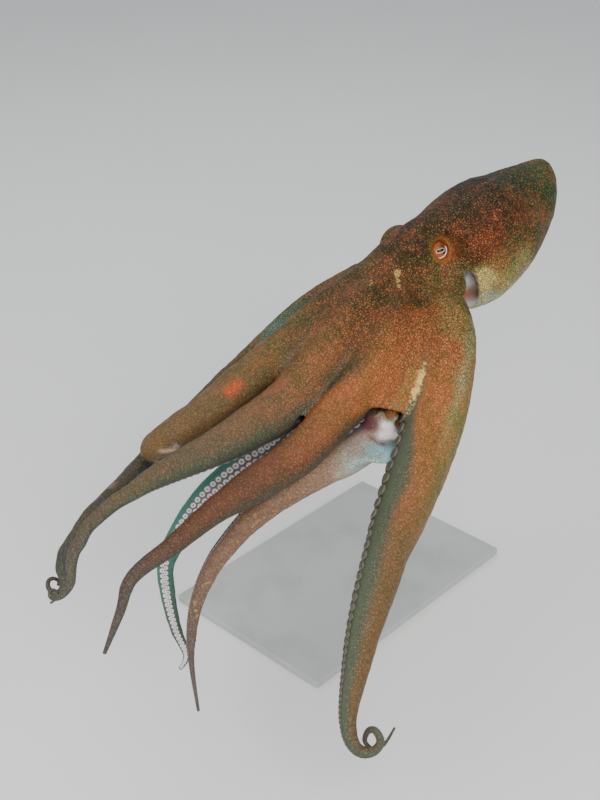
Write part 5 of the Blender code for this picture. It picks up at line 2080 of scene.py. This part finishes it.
# ---------------------------------------------------------------- eyes
@dataclass
class Eyes:
    """Both eyeballs, with a bulging front over a level slit."""

    head: Head
    iris: float = 9.9 * MM
    bulge: float = 1.1 * MM
    rings: int = 30
    sides: int = 48

    def build(self, material: Material) -> list[Thing]:
        """Makes the two eyes."""
        return [self.eyeball("eyeball_" + label, self.head.gaze(sign), material)
                for label, sign in (("left", 1), ("right", -1))]

    def eyeball(self, name: str, eye: EyeFrame, material: Material) -> Thing:
        """One eyeball, built in its gaze frame.

        Args:
            name: The piece's name.
            eye: Where it sits and looks.
            material: The eyes' material.

        Returns:
            The eyeball.
        """
        form = bmesh.new()
        radius = self.head.eye_radius
        rows, flat = [], []
        for k in range(1, self.rings):
            lean = math.pi * k / self.rings
            out = radius * math.sin(lean)
            height = radius * math.cos(lean)
            if lean <= math.pi / 2:
                height += self.bulge * float(smooth_step(self.iris, 0.0, np.array(out)))
            row = []
            for i in range(self.sides):
                turn = 2.0 * math.pi * i / self.sides
                across, above = out * math.cos(turn), out * math.sin(turn)
                point = eye.centre + eye.outward * height + eye.level * across + eye.rise * above
                row.append(form.verts.new(point))
                flat.append((across / self.iris, above / self.iris, height))
            rows.append(row)
        front = form.verts.new(eye.centre + eye.outward * (radius + self.bulge))
        back = form.verts.new(eye.centre - eye.outward * radius)
        flat += [(0.0, 0.0, radius), (0.0, 0.0, -radius)]
        for i in range(self.sides):
            j = (i + 1) % self.sides
            form.faces.new((front, rows[0][i], rows[0][j]))
            form.faces.new((back, rows[-1][j], rows[-1][i]))
            for low, high in zip(rows, rows[1:]):
                form.faces.new((low[i], high[i], high[j], low[j]))
        bmesh.ops.recalc_face_normals(form, faces=form.faces)
        mesh = finished_mesh(name, form)
        across, above, height = np.array(flat).T
        write_value(mesh, "across", across)
        write_value(mesh, "above", above)
        write_value(mesh, "away", np.where(height > 0.0, np.hypot(across, above), 2.0))
        mesh.shade_smooth()
        return new_object(name, mesh, material)


# ---------------------------------------------------------------- stand and studio
@dataclass
class Stand:
    """The base and rod, which keep the shapes of the solids."""

    paint: PaintFinish = field(default_factory=PaintFinish)
    steel: SteelFinish = field(default_factory=SteelFinish)

    def dress(self, effects: Effects) -> None:
        """Gives the two solids their finishes."""
        for node, material in (("stand_base", self.paint.build(effects)),
                               ("stand_rod", self.steel.build(effects))):
            for slot in bpy.data.objects[node].material_slots:
                slot.material = material
            LOG.info("%s: dressed", node)


@dataclass
class Studio:
    """The floor, the soft lights and the camera."""

    camera_place: tuple[float, float, float] = (-0.8592, -0.7395, 0.8765)
    view_out: tuple[float, float, float] = (-0.633, -0.591, 0.5)
    lens: float = 58.5
    floor_size: float = 16.0
    aim: tuple[float, float, float] = (0.0, -0.05, 0.28)
    air: Row = (0.9, 0.94, 1.0, 1.0)
    air_strength: float = 0.62
    # Each soft light: its name, its place, its size and its power.
    lights: Sequence[tuple[str, Row, float, float]] = (
        ("key_softbox", (-0.75, -1.25, 1.25), 1.1, 26.0),
        ("fill_softbox", (-1.5, 0.35, 0.9), 1.4, 10.0),
        ("top_softbox", (0.5, 0.9, 1.9), 1.6, 14.0),
    )

    def build(self) -> None:
        """Makes the whole studio."""
        form = bmesh.new()
        bmesh.ops.create_grid(form, x_segments=4, y_segments=4, size=self.floor_size / 2.0)
        floor = finished_mesh("studio_floor", form)
        new_object("studio_floor", floor, FloorFinish().build())
        for name, place, size, power in self.lights:
            self.light(name, place, size, power)
        world = bpy.data.worlds.new("studio_air")
        world.use_nodes = True
        air = world.node_tree.nodes["Background"].inputs
        air["Color"].default_value = self.air
        air["Strength"].default_value = self.air_strength
        bpy.context.scene.world = world
        self.camera()

    def light(self, name: str, place: Row, size: float, power: float) -> None:
        """Adds one square area light that looks at the animal.

        Args:
            name: The light's name.
            place: Where it stands.
            size: Its side, in metres.
            power: Its power, in watts.
        """
        data = bpy.data.lights.new(name, "AREA")
        data.size = size
        data.energy = power
        lamp = new_object(name, data)
        lamp.location = place
        way = Vector(self.aim) - Vector(place)
        lamp.rotation_euler = way.to_track_quat("-Z", "Y").to_euler()

    def camera(self) -> None:
        """Adds the camera and makes it the scene's own."""
        data = bpy.data.cameras.new("studio_camera")
        data.lens = self.lens
        data.sensor_width = 36.0
        data.clip_end = 50.0
        eye = new_object("studio_camera", data)
        eye.location = self.camera_place
        eye.rotation_euler = Vector(self.view_out).to_track_quat("Z", "Y").to_euler()
        bpy.context.scene.camera = eye


def main() -> None:
    """Builds the animal, its stand and the studio, and ties each piece to its solids."""
    logging.basicConfig(level=logging.INFO, format="%(message)s")
    effects = Effects()
    arms = build_arms()
    head = Head()
    mantle = Mantle()
    skin_parts = Skin(arms, head, mantle, Funnel(), Crown(arms, head))
    skin = SkinBuilder(skin_parts, Pigment(arms, head, mantle)).build(SkinFinish().build(effects))
    flesh = [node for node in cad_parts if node.startswith("arm_")]
    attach(skin, "root")
    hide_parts("mantle", "head", "crown", "funnel", *flesh)
    for piece in Suckers(arms).build(skin, CupFinish().build(effects)):
        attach(piece, "root")
    for piece, node in zip(Eyes(head).build(EyeFinish().build()), ("eye_left", "eye_right")):
        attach(piece, "root")
        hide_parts(node)
    Stand().dress(effects)
    Studio().build()


if __name__ == "__main__":
    main()
